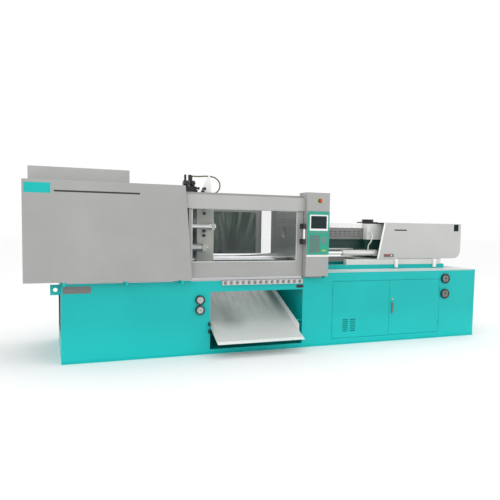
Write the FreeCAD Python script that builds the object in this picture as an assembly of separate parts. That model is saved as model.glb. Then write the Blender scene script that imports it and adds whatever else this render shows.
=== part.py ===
import FreeCAD, Part
import math
import os

# Horizontal injection moulding machine, direct hydraulic clamp, about 300 tonnes.
# X runs along the machine from the clamp end (-) to the injection end (+), the operator
# stands on the -Y side, and Z = 0 is the floor under the middle of the bed.

Vector = FreeCAD.Vector
os.makedirs("parts", exist_ok=True)

# ---------------------------------------------------------------- clearances
seat = 0.3            # between pieces that are bolted or laid together
running = 0.05        # radial, shaft in bore
door_gap = 4.0        # round a flush door

# ---------------------------------------------------------------- bed
bed_length = 6160.0
bed_width = 1500.0
bed_top = 965.0               # clamp half
injection_top = 1045.0        # injection half
step_x = 400.0                # where the two halves meet
bed_wall = 8.0
deck_thick = 20.0
sole_thick = 12.0
sole_lip = 15.0
cross_plate = 12.0
foundation_hole_r = 11.0
foundation_inset_x = 160.0
foundation_inset_y = 150.0

chute_x = (-1262.0, 60.0)     # mouth in the front wall
chute_z = (60.0, 810.0)
drop_half_width = 300.0       # hole in the clamp deck under the mould
drop_right_inset = 60.0       # short of the mouth's right edge
chute_bulkhead_gap = (40.0, 28.0)

lug_reach = 115.0
lug_inset_y = 60.0
lug_z = (822.0, 942.0)
lug_thick = 30.0
lug_hole_r = 25.0
end_window_z = (250.0, 790.0)
end_window_y = 560.0
rear_louvre_x = (934.0, 1834.0)
rear_louvre_width = 300.0

# ---------------------------------------------------------------- clamp
axis_z = 1580.0               # centre line of ram, platens and screw
platen_size = 980.0
tie_pitch = 760.0
tie_r = 50.0
fixed_face_x = 97.0           # mould face of the stationary platen
fixed_thick = 240.0
daylight = 1247.0             # platens fully open
moving_thick = 230.0
cylinder_platen_x = -2080.0
cylinder_platen_thick = 300.0
foot_width = 190.0
nut_length = 80.0
nut_r = 76.0
nut_gap = 0.1
nut_notch_r = 12.0
nut_notch_start = 20.0
tie_stick_out = 20.0          # past the nuts
slideway_y = (310.0, 400.0)
slideway_thick = 20.0
locating_r = 80.0
nozzle_hole_r = 100.0
locating_depth = 60.0
mould_bolt_r = 9.0
mould_bolt_depth = 45.0
mould_bolt_pitch = 420.0

ram_r = 180.0
bore_r = 200.0
cylinder_r = 250.0
cylinder_back_x = -3150.0
cylinder_cap = 50.0
cylinder_flange = 80.0        # over the cylinder's radius
cylinder_flange_thick = 70.0
prefill_from_back = 320.0
prefill_r = 110.0
prefill_root = 40.0
prefill_top_gap = 60.0        # under the roof
gland_length = 200.0
piston_length = 80.0
ram_back_gap = 40.0
stroke = 900.0

traverse_y = 560.0
traverse_drop = 205.0         # below the axis at the front, above it at the back
traverse_r = 50.0
traverse_rod_r = 25.0
traverse_back_x = -2450.0
traverse_gland = 30.0
traverse_gap = 12.0           # barrel end to the platen's lug
traverse_cap = 20.0
traverse_bore_r = 37.0
traverse_block_x = (60.0, 160.0)       # behind the cylinder platen's back face
traverse_block_margin = 12.0
traverse_lug_x = (50.0, 110.0)         # behind the moving platen's back face
traverse_lug_past = 40.0
traverse_lug_half = 45.0
traverse_rod_start = 60.0
traverse_rod_past = 15.0

safety_y = 600.0
safety_z = 1650.0
safety_r = 25.0
safety_ear_thick = 50.0
safety_ear_past = 45.0
safety_ear_half = 50.0
safety_arm_x = (30.0, 70.0)   # behind the mould face
safety_arm_past = 38.0
safety_arm_half = 42.0
safety_spare = 70.0
safety_front_gap = 10.0
safety_collar_wall = 12.0
safety_collar_length = 25.0

ejector_y = 280.0
ejector_r = 60.0
ejector_rod_r = 20.0
ejector_back = 180.0
ejector_sink = 20.0           # rod tips behind the mould face at rest
ejector_cap = 12.0
ejector_bore_r = 35.0
ejector_rod_gap = 20.0

valve_plate_y = (-340.0, -160.0)
valve_plate_x = (150.0, 220.0)         # behind and in front of the platen's back face
valve_plate_thick = 12.0
valve_block_x = (130.0, 40.0)
valve_block_y = (-315.0, -185.0)
valve_block_height = 100.0
valve_first_x = 96.0
valve_pitch = 84.0
valve_half = 32.0
valve_y = (-285.0, -215.0)
valve_height = 78.0
coil_r = 27.0
coil_y = (-345.0, -165.0)
coil_rise = 40.0
stem_r = 15.0
stem_y = -220.0
stem_height = 82.0
stem_step = 6.0
fitting_y = (-268.0, -232.0)
elbow_x = (150.0, 190.0)
elbow_height = 34.0
riser_x = (60.0, 22.0)
riser_height = 78.0

# ---------------------------------------------------------------- guards and gates
guard_overhang = 400.0
guard_stand_out = 100.0       # past the side of the bed
guard_z = (980.0, 2150.0)
guard_right_low_x = -1529.0
guard_right_high_x = -1625.0
guard_sheet = 2.5
guard_return = 25.0
hood_x = (-3430.0, -2240.0)
hood_y = 400.0
hood_top = 2340.0
roof_right_inset = 15.0
frame_bar = 30.0
frame_set_in = 30.0           # outer face of the posts, inside the side of the bed
post_x = (-3060.0, -2350.0, -1670.0)
beam_z = 2053.0
bracket_drop = 45.0           # below the guard
bracket_gap = 5.0             # to the gate's channel

header_stand_out = 50.0
header_depth = 24.0
header_z = 1877.0
header_left_x = -1640.0
header_flange = 3.0

gate_x = (-1560.0, 30.0)
gate_stand_out = 20.0
gate_depth = 40.0
gate_z = (1003.0, 1985.0)
gate_sheet = 2.0
window_x = (-1514.0, -71.0)
window_z = (1207.0, 1870.0)
pane_thick = 5.0
pane_lap = 15.0
gate_travel = 1400.0
rail_r = 12.5
rail_z = 2015.0
rail_web = 8.0
rail_flange = 8.0
rail_flange_lip = 10.0
rail_spare = 60.0             # past the open gate
hanger_x = (-1450.0, -90.0)
hanger_width = 60.0
hanger_half = 22.0
hanger_slot_half = 7.0
fin_half = 4.0
fin_gap = 10.0
channel_z = 35.0
channel_wall = 3.0
channel_width = 30.0

handle_x = 0.0
handle_z = (1467.0, 1672.0)
handle_reach = 95.0
handle_r = 14.0
handle_foot = 34.0
handle_foot_lip = 4.0

# ---------------------------------------------------------------- control column
column_x = (35.0, 380.0)
column_stand_out = 120.0
column_depth = 230.0
column_z = (995.0, 2128.0)
column_sheet = 2.5
column_foot_inset = 25.0
column_foot_gap = (2.0, 10.0)
fascia_x = (45.0, 378.0)
fascia_z = (1294.0, 1875.0)
fascia_thick = 8.0
fascia_corner = 10.0
screen_x = (94.0, 334.0)
screen_z = (1644.0, 1814.0)
screen_depth = 4.0
estop_x = 229.0
estop_z = 2020.0
estop_r = 20.0
estop_stem_r = 11.0
estop_travel = 6.0
estop_head = 15.5
estop_head_round = 6.0
estop_head_gap = 0.5          # over its collar when pressed
estop_stem = 30.0
estop_collar_wall = 9.0
estop_collar_height = 5.0

# ---------------------------------------------------------------- bed doors
door_z = (92.0, 903.0)
door_left_x = (534.0, 1484.0)
door_right_x = (1488.0, 2398.0)
door_depth = 20.0
door_sheet = 2.0
jamb = 8.0
jamb_depth = 26.0
stop_width = 15.0
mullion_width = 60.0
knuckle_r = 6.0
hinge_pin_r = 3.0
hinge_z = (200.0, 740.0)
knuckle_length = 30.0
leaf_width = 18.0
leaf_over = 2.0               # outside the pin's centre
louvre_columns_x = (703.0, 826.0)
louvre_width = 90.0
louvre_z = (183.0, 373.0)
louvre_slots = 7
louvre_slot = 9.0
lock_x = 1540.0
lock_z = (386.0, 600.0)
lock_plate = (36.0, 4.0)
lock_pivot_z = 560.0
lock_shaft_r = 8.0
lock_lever = (24.0, 140.0, 16.0)
lock_crank_wall = 8.0
lock_crank_thick = 4.0

# ---------------------------------------------------------------- small front fittings
manifold_x = (-1113.0, 39.0)
manifold_z = (895.0, 954.0)
manifold_depth = 34.0
nipple_count = 14
nipple_r = 10.0
nipple_length = 26.0
nipple_wall = 4.0
nipple_floor = 2.0
shoulder_over = 6.0
shoulder_length = 9.0
gauge_x = -1404.0
gauge_z = (581.0, 711.0)
gauge_r = 60.0
gauge_depth = 32.0
gauge_rim = 6.0
gauge_recess = 5.0
vent_x = 2492.0
vent_z = (674.0, 909.0)
vent_r = 75.0
vent_depth = 26.0
vent_rim = 14.0
vent_recess = 8.0

# ---------------------------------------------------------------- product chute
tray_x = (-1258.0, -60.0)
tray_reach = 334.0            # past the front wall
tray_lip_z = 190.0
tray_slope = 25.0             # degrees
tray_back_y = 290.0
tray_flange_reach = 155.0
tray_flange = 92.0
tray_flange_back = 73.6
tray_sheet = 2.5
rest_r = 16.0
rest_y = (-660.0, 180.0)

# ---------------------------------------------------------------- bed contents
bay_wall_x = 1480.0           # between electrical and pump bays
tank_x = (2450.0, 3055.0)
tank_side_gap = 50.0
tank_bulkhead_gap = 20.0
tank_z = 800.0
tank_wall = 5.0
filler_r = 50.0
filler_depth = 20.0
motor_y = -300.0
motor_z = 300.0
motor_r = 165.0
motor_x = (1560.0, 2040.0)
motor_foot_inset = 60.0
motor_foot_half = 140.0
junction_x = (120.0, 260.0)
junction_half = 70.0
junction_rise = (100.0, 215.0)
pump_x = (2120.0, 2330.0)
pump_r = 90.0
pump_bracket_thick = 40.0
pump_bracket_half = 130.0
drive_shaft_r = 20.0
shaft_entry = 40.0
coupling_r = 48.0
coupling_gap = 8.0
key_inset = 20.0
key_half = 6.0
key_rise = 4.0
panel_y = -220.0
panel_x = (540.0, 1460.0)
panel_z = (60.0, 900.0)
panel_plate = 4.0
panel_leg = 30.0
panel_rails = 3
panel_rail_first = 120.0
panel_rail_pitch = 250.0
panel_rail_inset = 60.0
panel_rail = (8.0, 35.0)
units = 7
unit_first = 80.0
unit_pitch = 110.0
unit_width = 84.0
unit_depth = 90.0
unit_z = (-45.0, 80.0)

# ---------------------------------------------------------------- injection unit
rail_beam_y = (320.0, 400.0)
rail_beam_z = 1110.0
rail_beam_x = (450.0, 2760.0)
base_x = (950.0, 2700.0)
base_top = 1190.0
base_plate = 20.0
pedestal_x = (1420.0, 1705.0)
pedestal_y = 180.0
housing_z = (1485.0, 1730.0)
housing_y = 210.0
spine_x = 430.0
spine_z = 1345.0
spine_y = 60.0
spine_cap = 14.7
spine_cap_lip = 5.0
spine_drop = 10.0             # under the housing
spine_rest = 25.0
barrel_r = 70.0
barrel_front_x = 345.0
barrel_seat = 80.0            # length inside the housing
barrel_shoulder = 12.0
neck_length = 40.0
nozzle_tip_x = 190.0
nozzle_r = 25.0
nozzle_tip_r = 12.0
nozzle_tip_length = 12.0
nozzle_bore_r = 4.0
barrel_end = 10.0
screw_r = 30.0
screw_gap = 1.0
screw_back_off = 60.0         # behind the barrel's front
screw_tip = 40.0
screw_tip_r = 6.0
screw_in_motor = 60.0
band_count = 5
band_width = 130.0
band_pitch = 190.0
band_start_x = 475.0
band_thick = 6.0
terminal_x = (45.0, 85.0)
terminal_half = 18.0
terminal_rise = 2.0
terminal_root = 4.0
barrel_cover_side_gap = 29.0
barrel_cover_top_gap = 4.0
barrel_cover_sheet = 2.0
cover_louvre_rows = 3
cover_louvre_first = 42.0
cover_louvre_rise = 34.0
cover_louvres = 11
cover_louvre_start = 40.0
cover_louvre_pitch = 84.0
cover_louvre = (62.0, 7.0)
barrel_cover_x = (430.0, 1415.0)
cover_sheet = 2.5
cover_x = (1487.0, 3085.0)
cover_top_left_x = 1599.0
cover_y = 400.0
cover_z = (1195.0, 1751.0)
cover_corner = 130.0
cover_slot_x = (1788.0, 2021.0)
cover_slot_z = (1630.0, 1648.0)
cover_notch_gap = 20.0
cover_block_x = (1830.0, 2560.0)
cover_block_half = 40.0
cover_block_height = 70.0
throat_r = 45.0               # takes the hopper's spigot
feed_r = 38.0
throat_x = 1562.0
hopper_square = 240.0
hopper_plate = 30.0
hopper_collar_r = 90.0
hopper_top = 1800.0
hopper_bolt_pitch = 190.0
hopper_bolt_r = 6.5
advance_y = 300.0
advance_z = 1285.0
advance_r = 45.0
advance_x = (927.0, 1473.0)
advance_rod_r = 25.0
advance_rod_end = 1300.0
advance_bore_r = 38.0
advance_gland = 30.0
advance_cap = 13.0
advance_block = 60.0
advance_piston = 30.0
advance_flange = 25.0
advance_flange_wall = 12.0
inject_y = 220.0
inject_r = 65.0
inject_bore_r = 50.0
inject_x = 2110.0
inject_rod_r = 30.0
inject_cap = 25.0
inject_gland = 40.0
inject_rod_start = 50.0
drive_x = (2250.0, 2400.0)
drive_y = 300.0
drive_z = (1420.0, 1735.0)
drive_foot_inset = 60.0
screw_motor_r = 130.0
screw_motor_x = 2700.0
screw_motor_flange = 18.0
screw_motor_flange_thick = 22.0
port_x = (130.0, 40.0)        # before the motor's back face
port_half = 60.0
port_root = 90.0
port_rise = 22.0

# ---------------------------------------------------------------- hoses
platen_hose_r = 9.0
platen_hose_route = [(-1402, -250, 2322), (-1300, -250, 2322), (-1180, -251, 2334), (-1068, -253, 2322),
                     (-998, -255, 2256), (-997, -254, 2163), (-1063, -250, 2097), (-1190, -250, 2097)]
carriage_hose_r = 8.0
carriage_hose_route = [(1452, -210, 1590), (1452, -290, 1590), (1432, -350, 1530),
                       (1404, -345, 1450), (1388, -300, 1400), (1388, -300, 1330)]

# Worked out from the sizes above
half_bed = bed_length / 2
half_width = bed_width / 2
guard_y = half_width + guard_stand_out
frame_y = half_width - frame_set_in
header_y = half_width + header_stand_out
gate_y = half_width + gate_stand_out
gate_middle = gate_y - gate_depth / 2
channel_y = (gate_middle - channel_width / 2, gate_middle + channel_width / 2)
column_y = (-half_width - column_stand_out, column_depth - half_width - column_stand_out)
tray_lip_y = -half_width - tray_reach
tray_flange_start_y = -half_width - tray_flange_reach
tank_y = half_width - tank_side_gap
band_r = barrel_r + band_thick
barrel_cover_y = band_r + barrel_cover_side_gap
barrel_cover_top = axis_z + band_r + terminal_rise + barrel_cover_top_gap
guard_left_x = -half_bed - guard_overhang
moving_face_x = fixed_face_x - daylight
moving_back_x = moving_face_x - moving_thick
fixed_back_x = fixed_face_x + fixed_thick
cylinder_front_x = cylinder_platen_x + cylinder_platen_thick
platen_z = (axis_z - platen_size / 2, axis_z + platen_size / 2)
slideway_top = bed_top + slideway_thick
tie_places = [(sy * tie_pitch / 2, axis_z + sz * tie_pitch / 2) for sy in (-1, 1) for sz in (-1, 1)]
traverse_places = [(-traverse_y, axis_z - traverse_drop), (traverse_y, axis_z + traverse_drop)]
front = -half_width           # outer face of the front wall
far = 9000.0                  # longer than any cut needs


# ---------------------------------------------------------------- shape helpers
def box(x, y, z):
    """A block from three (low, high) spans."""
    lows = [min(span) for span in (x, y, z)]
    sizes = [abs(span[1] - span[0]) for span in (x, y, z)]
    return Part.makeBox(*sizes, Vector(*lows))


def bar(axis, centre, radius, span):
    """A round bar along an axis, through the point given by its two other coordinates."""
    low, high = min(span), max(span)
    a, b = centre
    start = {"x": Vector(low, a, b), "y": Vector(a, low, b), "z": Vector(a, b, low)}[axis]
    way = {"x": Vector(1, 0, 0), "y": Vector(0, 1, 0), "z": Vector(0, 0, 1)}[axis]
    return Part.makeCylinder(radius, high - low, start, way)


def ring(axis, centre, outer, inner, span):
    return bar(axis, centre, outer, span).cut(bar(axis, centre, inner, span))


def place(axis, level, a, b):
    return {"x": Vector(level, a, b), "y": Vector(a, level, b), "z": Vector(a, b, level)}[axis]


def prism(axis, points, span):
    """A flat outline of (a, b) points, drawn out along an axis from span[0] to span[1]."""
    corners = [place(axis, span[0], a, b) for a, b in points]
    face = Part.Face(Part.makePolygon(corners + [corners[0]]))
    return face.extrude(place(axis, span[1] - span[0], 0, 0))


def mirrored(shape):
    return shape.mirror(Vector(0, 0, 0), Vector(0, 1, 0))


def fuse(first, *others):
    return first.fuse(list(others)).removeSplitter()


def hose(points, radius):
    """Straight runs joined by tangent arcs, each as large as its two runs allow."""
    stops = [Vector(*p) for p in points]
    edges, start, length = [], stops[0], 0.0
    for before, here, after in zip(stops, stops[1:], stops[2:]):
        arrive = (here - before).normalize()
        leave = (after - here).normalize()
        half_turn = arrive.getAngle(leave) / 2
        shorter = min((here - before).Length, (after - here).Length)
        bend = 0.45 * shorter / math.tan(half_turn)
        back = bend * math.tan(half_turn)
        first, last = here - arrive * back, here + leave * back
        centre_way = (leave - arrive).normalize()
        middle = here + centre_way * (bend / math.cos(half_turn) - bend)
        edges += [Part.LineSegment(start, first).toShape(), Part.Arc(first, middle, last).toShape()]
        length += (first - start).Length + bend * 2 * half_turn
        start = last
        print("hose bend radius %.0f mm" % bend)
    edges.append(Part.LineSegment(start, stops[-1]).toShape())
    length += (stops[-1] - start).Length
    path = Part.Wire(edges)
    circle = Part.Wire(Part.Circle(stops[0], stops[1] - stops[0], radius).toShape())
    tube = path.makePipeShell([circle], True, False)
    error = tube.Volume / (math.pi * radius ** 2 * length) - 1
    print("hose length %.0f mm, volume off by %.4f" % (length, error))
    return tube


def save(node, *shapes):
    solids = [solid for shape in shapes for solid in shape.Solids]
    for solid in solids:
        if not solid.isValid():
            print("not valid:", node)
    whole = solids[0] if len(solids) == 1 else Part.makeCompound(solids)
    whole.exportStep("parts/%s.step" % node)


# ---------------------------------------------------------------- bed
def bed_sole():
    plate = box((-half_bed, half_bed), (front - sole_lip, half_width + sole_lip), (0, sole_thick))
    for sx in (-1, 1):
        for sy in (-1, 1):
            hole = (sx * (half_bed - foundation_inset_x), sy * (half_width - foundation_inset_y))
            plate = plate.cut(bar("z", hole, foundation_hole_r, (-1, sole_thick + 1)))
    return plate


def wall_outline():
    return [(-half_bed, sole_thick), (half_bed, sole_thick), (half_bed, injection_top),
            (step_x, injection_top), (step_x, bed_top), (-half_bed, bed_top)]


def hinge_half(door_edge_x, side, leaf_side, level):
    """One knuckle with its leaf on the outside of the wall. side is where the door lies."""
    pin_x = door_edge_x - side * door_gap / 2
    pin_y = front - knuckle_r
    barrel = bar("z", (pin_x, pin_y), knuckle_r, (level, level + knuckle_length))
    leaf_end = pin_x + leaf_side * leaf_width
    leaf = box((pin_x + leaf_side * hinge_pin_r, leaf_end), (pin_y - leaf_over, front),
               (level, level + knuckle_length))
    return barrel.fuse(leaf)


def bed_front_wall():
    wall = prism("y", wall_outline(), (front, front + bed_wall))
    wall = wall.cut(box(chute_x, (front - 1, front + bed_wall + 1), chute_z))
    opening_x = (door_left_x[0] - door_gap, door_right_x[1] + door_gap)
    opening_z = (door_z[0] - door_gap, door_z[1] + door_gap)
    jamb_y = (front + 1, front + jamb_depth)
    frame = box((opening_x[0] - jamb, opening_x[1] + jamb), jamb_y,
                (opening_z[0] - jamb, opening_z[1] + jamb))
    frame = frame.cut(box((opening_x[0] + stop_width, opening_x[1] - stop_width), (front, front + 99),
                          (opening_z[0] + stop_width, opening_z[1] - stop_width)))
    pocket_y = (front - 1, front + door_depth + seat)
    pocket = box(opening_x, pocket_y, opening_z)
    middle = (door_left_x[1] + door_right_x[0]) / 2
    mullion = box((middle - mullion_width / 2, middle + mullion_width / 2),
                  (front + door_depth + seat, front + jamb_depth), opening_z)
    wall = fuse(wall, frame, mullion).cut(pocket)
    pin_span = 2 * knuckle_length
    for edge, side in ((door_left_x[0], 1), (door_right_x[1], -1)):
        pin_at = (edge - side * door_gap / 2, front - knuckle_r)
        for level in hinge_z:
            pin = bar("z", pin_at, hinge_pin_r, (level, level + pin_span))
            wall = wall.fuse([hinge_half(edge, side, -side, level), pin])
    return wall


def bed_rear_wall():
    wall = prism("y", wall_outline(), (half_width - bed_wall, half_width))
    pitch = (louvre_z[1] - louvre_z[0]) / louvre_slots
    for x in rear_louvre_x:
        for row in range(louvre_slots):
            low = louvre_z[0] + row * pitch
            wall = wall.cut(box((x, x + rear_louvre_width), (half_width - bed_wall - 1, half_width + 1),
                                (low, low + louvre_slot)))
    return wall


def lifting_lug(side):
    middle = side * (half_width - lug_inset_y)
    lug_y = (middle - lug_thick / 2, middle + lug_thick / 2)
    end = -half_bed
    plate = box((end - lug_reach, end), lug_y, lug_z)
    hole_z = (lug_z[0] + lug_z[1]) / 2
    return plate.cut(bar("y", (end - lug_reach / 2, hole_z), lug_hole_r, (lug_y[0] - 1, lug_y[1] + 1)))


def bed_ends():
    inner_y = (front + bed_wall, half_width - bed_wall)
    left = box((-half_bed, -half_bed + bed_wall), inner_y, (sole_thick, bed_top - deck_thick))
    left = left.cut(box((-half_bed - 1, -half_bed + bed_wall + 1), (-end_window_y, end_window_y),
                        end_window_z))
    left = fuse(left, lifting_lug(-1), lifting_lug(1))
    right = box((half_bed - bed_wall, half_bed), inner_y, (sole_thick, injection_top - deck_thick))
    return left, right


def bed_bulkheads():
    inner_y = (front + bed_wall, half_width - bed_wall)
    plates = []
    beside_chute = (chute_x[0] - chute_bulkhead_gap[0], chute_x[1] + chute_bulkhead_gap[1])
    low_z, high_z = (sole_thick, bed_top - deck_thick), (sole_thick, injection_top - deck_thick)
    for x in (cylinder_platen_x, *beside_chute, step_x - cross_plate):
        plates.append(box((x, x + cross_plate), inner_y, low_z))
    plates.append(box((step_x, step_x + cross_plate), inner_y, high_z))
    behind_mullion = (front + jamb_depth + seat, half_width - bed_wall)
    plates.append(box((bay_wall_x, bay_wall_x + cross_plate), behind_mullion, high_z))
    tank_side = tank_x[0] - tank_bulkhead_gap
    plates.append(box((tank_side, tank_side + cross_plate), inner_y, high_z))
    rests = []
    rest_x = (beside_chute[0] + cross_plate, beside_chute[1])
    for y in rest_y:
        under = tray_surface(y) - (rest_r + tray_sheet + seat) / math.cos(math.radians(tray_slope))
        rests.append(bar("x", (y, under), rest_r, rest_x))
    return plates + rests


def clamp_deck():
    inner = (front + bed_wall, half_width - bed_wall)
    plate = box((-half_bed, step_x), inner, (bed_top - deck_thick, bed_top))
    drop_x = (chute_x[0], chute_x[1] - drop_right_inset)
    drop = box(drop_x, (-drop_half_width, drop_half_width), (0, bed_top + 1))
    strips = []
    for side in (-1, 1):
        span = tuple(side * y for y in slideway_y)
        strips.append(box((cylinder_front_x, fixed_face_x), span, (bed_top, slideway_top)))
    return [plate.cut(drop)] + strips


def injection_deck():
    inner = (front + bed_wall, half_width - bed_wall)
    return box((step_x, half_bed), inner, (injection_top - deck_thick, injection_top))


def carriage_rails():
    return [box(rail_beam_x, tuple(side * y for y in rail_beam_y), (injection_top, rail_beam_z))
            for side in (-1, 1)]


# ---------------------------------------------------------------- clamp
def platen(x, foot_bottom):
    body = box(x, (-platen_size / 2, platen_size / 2), platen_z)
    for side in (-1, 1):
        outer = side * platen_size / 2
        foot = box(x, (outer, outer - side * foot_width), (foot_bottom, platen_z[0]))
        body = body.fuse(foot)
    return body.removeSplitter()


def mould_bolt_holes(face_x, inward):
    """Four tapped holes that hold a mould half."""
    half = mould_bolt_pitch / 2
    span = (face_x, face_x + inward * mould_bolt_depth)
    return [bar("x", (sy * half, axis_z + sz * half), mould_bolt_r, span) for sy in (-1, 1) for sz in (-1, 1)]


def stationary_platen():
    body = platen((fixed_face_x, fixed_back_x), bed_top)
    for at in tie_places:
        body = body.cut(bar("x", at, tie_r + seat, (fixed_face_x - 1, fixed_back_x + 1)))
    deep = fixed_face_x + locating_depth
    body = body.cut(bar("x", (0, axis_z), locating_r, (fixed_face_x - 1, deep)))
    body = body.cut(bar("x", (0, axis_z), nozzle_hole_r, (deep, fixed_back_x + 1)))
    return body.cut(mould_bolt_holes(fixed_face_x, 1))


def cylinder_platen():
    body = platen((cylinder_platen_x, cylinder_front_x), bed_top)
    for at in tie_places:
        body = body.cut(bar("x", at, tie_r + seat, (cylinder_platen_x - 1, cylinder_front_x + 1)))
    ear_x = (cylinder_front_x - safety_ear_thick, cylinder_front_x)
    ear = box(ear_x, (-safety_y - safety_ear_past, -platen_size / 2 + 1),
              (safety_z - safety_ear_half, safety_z + safety_ear_half))
    body = body.fuse(ear)
    body = body.cut(bar("x", (-safety_y, safety_z), safety_r + running, (ear_x[0] - 1, ear_x[1] + 1)))
    return body.cut(bar("x", (0, axis_z), cylinder_r + seat, (cylinder_platen_x - 1, cylinder_front_x + 1)))


def tie_bars():
    reach = nut_length + tie_stick_out
    return [bar("x", at, tie_r, (cylinder_platen_x - reach, fixed_back_x + reach)) for at in tie_places]


def tie_bar_nuts():
    nuts = []
    for at in tie_places:
        for x in (cylinder_platen_x - nut_length, fixed_back_x):
            nut = ring("x", at, nut_r, tie_r + nut_gap, (x, x + nut_length))
            for turn in range(4):
                angle = math.radians(45 + 90 * turn)
                spot = (at[0] + nut_r * math.cos(angle), at[1] + nut_r * math.sin(angle))
                nut = nut.cut(bar("x", spot, nut_notch_r, (x + nut_notch_start, x + nut_length + 1)))
            nuts.append(nut)
    return nuts


def clamp_cylinder():
    body = bar("x", (0, axis_z), cylinder_r, (cylinder_back_x, cylinder_front_x))
    flange_x = (cylinder_platen_x - cylinder_flange_thick, cylinder_platen_x)
    flange = bar("x", (0, axis_z), cylinder_r + cylinder_flange, flange_x)
    prefill_z = (axis_z + cylinder_r - prefill_root, guard_z[1] - prefill_top_gap)
    prefill = bar("z", (cylinder_back_x + prefill_from_back, 0), prefill_r, prefill_z)
    body = body.fuse([flange, prefill])
    gland_x = cylinder_front_x - gland_length
    hollow = bar("x", (0, axis_z), bore_r, (cylinder_back_x + cylinder_cap, gland_x))
    guide = bar("x", (0, axis_z), ram_r + running, (gland_x - 1, cylinder_front_x + 1))
    return body.cut([hollow, guide])


def traverse_cylinders():
    made = []
    tip = moving_back_x + traverse_lug_x[0] - traverse_gap
    half = traverse_r + traverse_block_margin
    for y, z in traverse_places:
        side = math.copysign(1, y)
        tube = bar("x", (y, z), traverse_r, (traverse_back_x, tip))
        block = box([cylinder_platen_x + x for x in traverse_block_x],
                    (side * (platen_size / 2 + seat), y + side * half), (z - half, z + half))
        tube = tube.fuse(block)
        inner = bar("x", (y, z), traverse_bore_r, (traverse_back_x + traverse_cap, tip - traverse_gland))
        gland = bar("x", (y, z), traverse_rod_r + running, (tip - traverse_gland - 1, tip + 1))
        made.append(tube.cut([inner, gland]))
    return made


def moving_platen():
    body = platen((moving_back_x, moving_face_x), slideway_top + seat)
    lug_x = [moving_back_x + x for x in traverse_lug_x]
    for y, z in traverse_places:
        side = math.copysign(1, y)
        lug = box(lug_x, (side * (platen_size / 2 - 1), y + side * traverse_lug_past),
                  (z - traverse_lug_half, z + traverse_lug_half))
        body = body.fuse(lug)
    arm_x = [moving_face_x - x for x in reversed(safety_arm_x)]
    arm = box(arm_x, (-safety_y - safety_arm_past, -platen_size / 2 + 1),
              (safety_z - safety_arm_half, safety_z + safety_arm_half))
    body = body.fuse(arm)
    for at in tie_places:
        body = body.cut(bar("x", at, tie_r + running, (moving_back_x - 1, moving_face_x + 1)))
    for side in (-1, 1):
        through = (moving_back_x - 1, moving_face_x + 1)
        body = body.cut(bar("x", (side * ejector_y, axis_z), ejector_rod_r + running, through))
    body = body.cut(bar("x", (-safety_y, safety_z), safety_r + seat, (arm_x[0] - 1, arm_x[1] + 1)))
    for y, z in traverse_places:
        hole = bar("x", (y, z), traverse_rod_r + seat, (lug_x[0] - 1, lug_x[1] + 1))
        body = body.cut(hole)
    return body.cut(mould_bolt_holes(moving_face_x, -1))


def clamp_ram():
    back = cylinder_back_x + cylinder_cap + ram_back_gap
    stem = bar("x", (0, axis_z), ram_r, (back, moving_back_x))
    return stem.fuse(bar("x", (0, axis_z), bore_r - running, (back, back + piston_length)))


def traverse_rods():
    span = (traverse_back_x + traverse_rod_start, moving_back_x + traverse_lug_x[1] + traverse_rod_past)
    return [bar("x", at, traverse_rod_r, span) for at in traverse_places]


def safety_bar():
    """Notched drop bar, long enough to stay in its ear over the whole stroke."""
    at = (-safety_y, safety_z)
    back = cylinder_front_x - safety_spare - stroke
    rod = bar("x", at, safety_r, (back, moving_face_x - safety_front_gap))
    arm_back = moving_face_x - safety_arm_x[1]
    collar_x = (arm_back - safety_collar_length, arm_back - seat)
    collar = ring("x", at, safety_r + safety_collar_wall, safety_r - 1, collar_x)
    return rod.fuse(collar)


def ejector_cylinders():
    made = []
    for side in (-1, 1):
        at = (side * ejector_y, axis_z)
        back = moving_back_x - ejector_back
        shell = bar("x", at, ejector_r, (back, moving_back_x))
        inner = bar("x", at, ejector_bore_r, (back + ejector_cap, moving_back_x - ejector_cap))
        nose = bar("x", at, ejector_rod_r + running, (moving_back_x - ejector_cap - 1, moving_back_x + 1))
        made.append(shell.cut([inner, nose]))
    return made


def ejector_rods():
    span = (moving_back_x - ejector_back + ejector_rod_gap, moving_face_x - ejector_sink)
    return [bar("x", (side * ejector_y, axis_z), ejector_rod_r, span) for side in (-1, 1)]


def valve_block():
    """Solenoid valves for the ejector and core pulls, on a plate on top of the moving platen."""
    plate_top = platen_z[1] + valve_plate_thick
    block_top = plate_top + valve_block_height
    valve_top = block_top + valve_height
    plate = box((moving_back_x - valve_plate_x[0], moving_back_x + valve_plate_x[1]), valve_plate_y,
                (platen_z[1], plate_top))
    block = box((moving_back_x - valve_block_x[0], moving_back_x + valve_block_x[1]), valve_block_y,
                (plate_top, block_top))
    solid = fuse(plate, block)
    for step in range(2):
        x = moving_back_x - valve_first_x + step * valve_pitch
        valve = box((x - valve_half, x + valve_half), valve_y, (block_top, valve_top))
        coil = bar("y", (x, block_top + coil_rise), coil_r, coil_y)
        stem = bar("z", (x, stem_y), stem_r, (valve_top, valve_top + stem_height - step * stem_step))
        solid = solid.fuse([valve, coil, stem])
    elbow = box([moving_back_x + x for x in elbow_x], fitting_y, (plate_top, plate_top + elbow_height))
    riser = box([moving_back_x - x for x in riser_x], fitting_y, (valve_top, valve_top + riser_height))
    return fuse(solid, elbow, riser)


# ---------------------------------------------------------------- guards
def guard_outline(inset):
    return [(guard_left_x + inset, guard_z[0] + inset), (guard_right_low_x - inset, guard_z[0] + inset),
            (guard_right_high_x - inset, guard_z[1] - inset), (guard_left_x + inset, guard_z[1] - inset)]


def guard_pan():
    outer = prism("y", guard_outline(0), (-guard_y, -guard_y + guard_return))
    return outer.cut(prism("y", guard_outline(guard_sheet), (-guard_y + guard_sheet, 0)))


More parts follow.
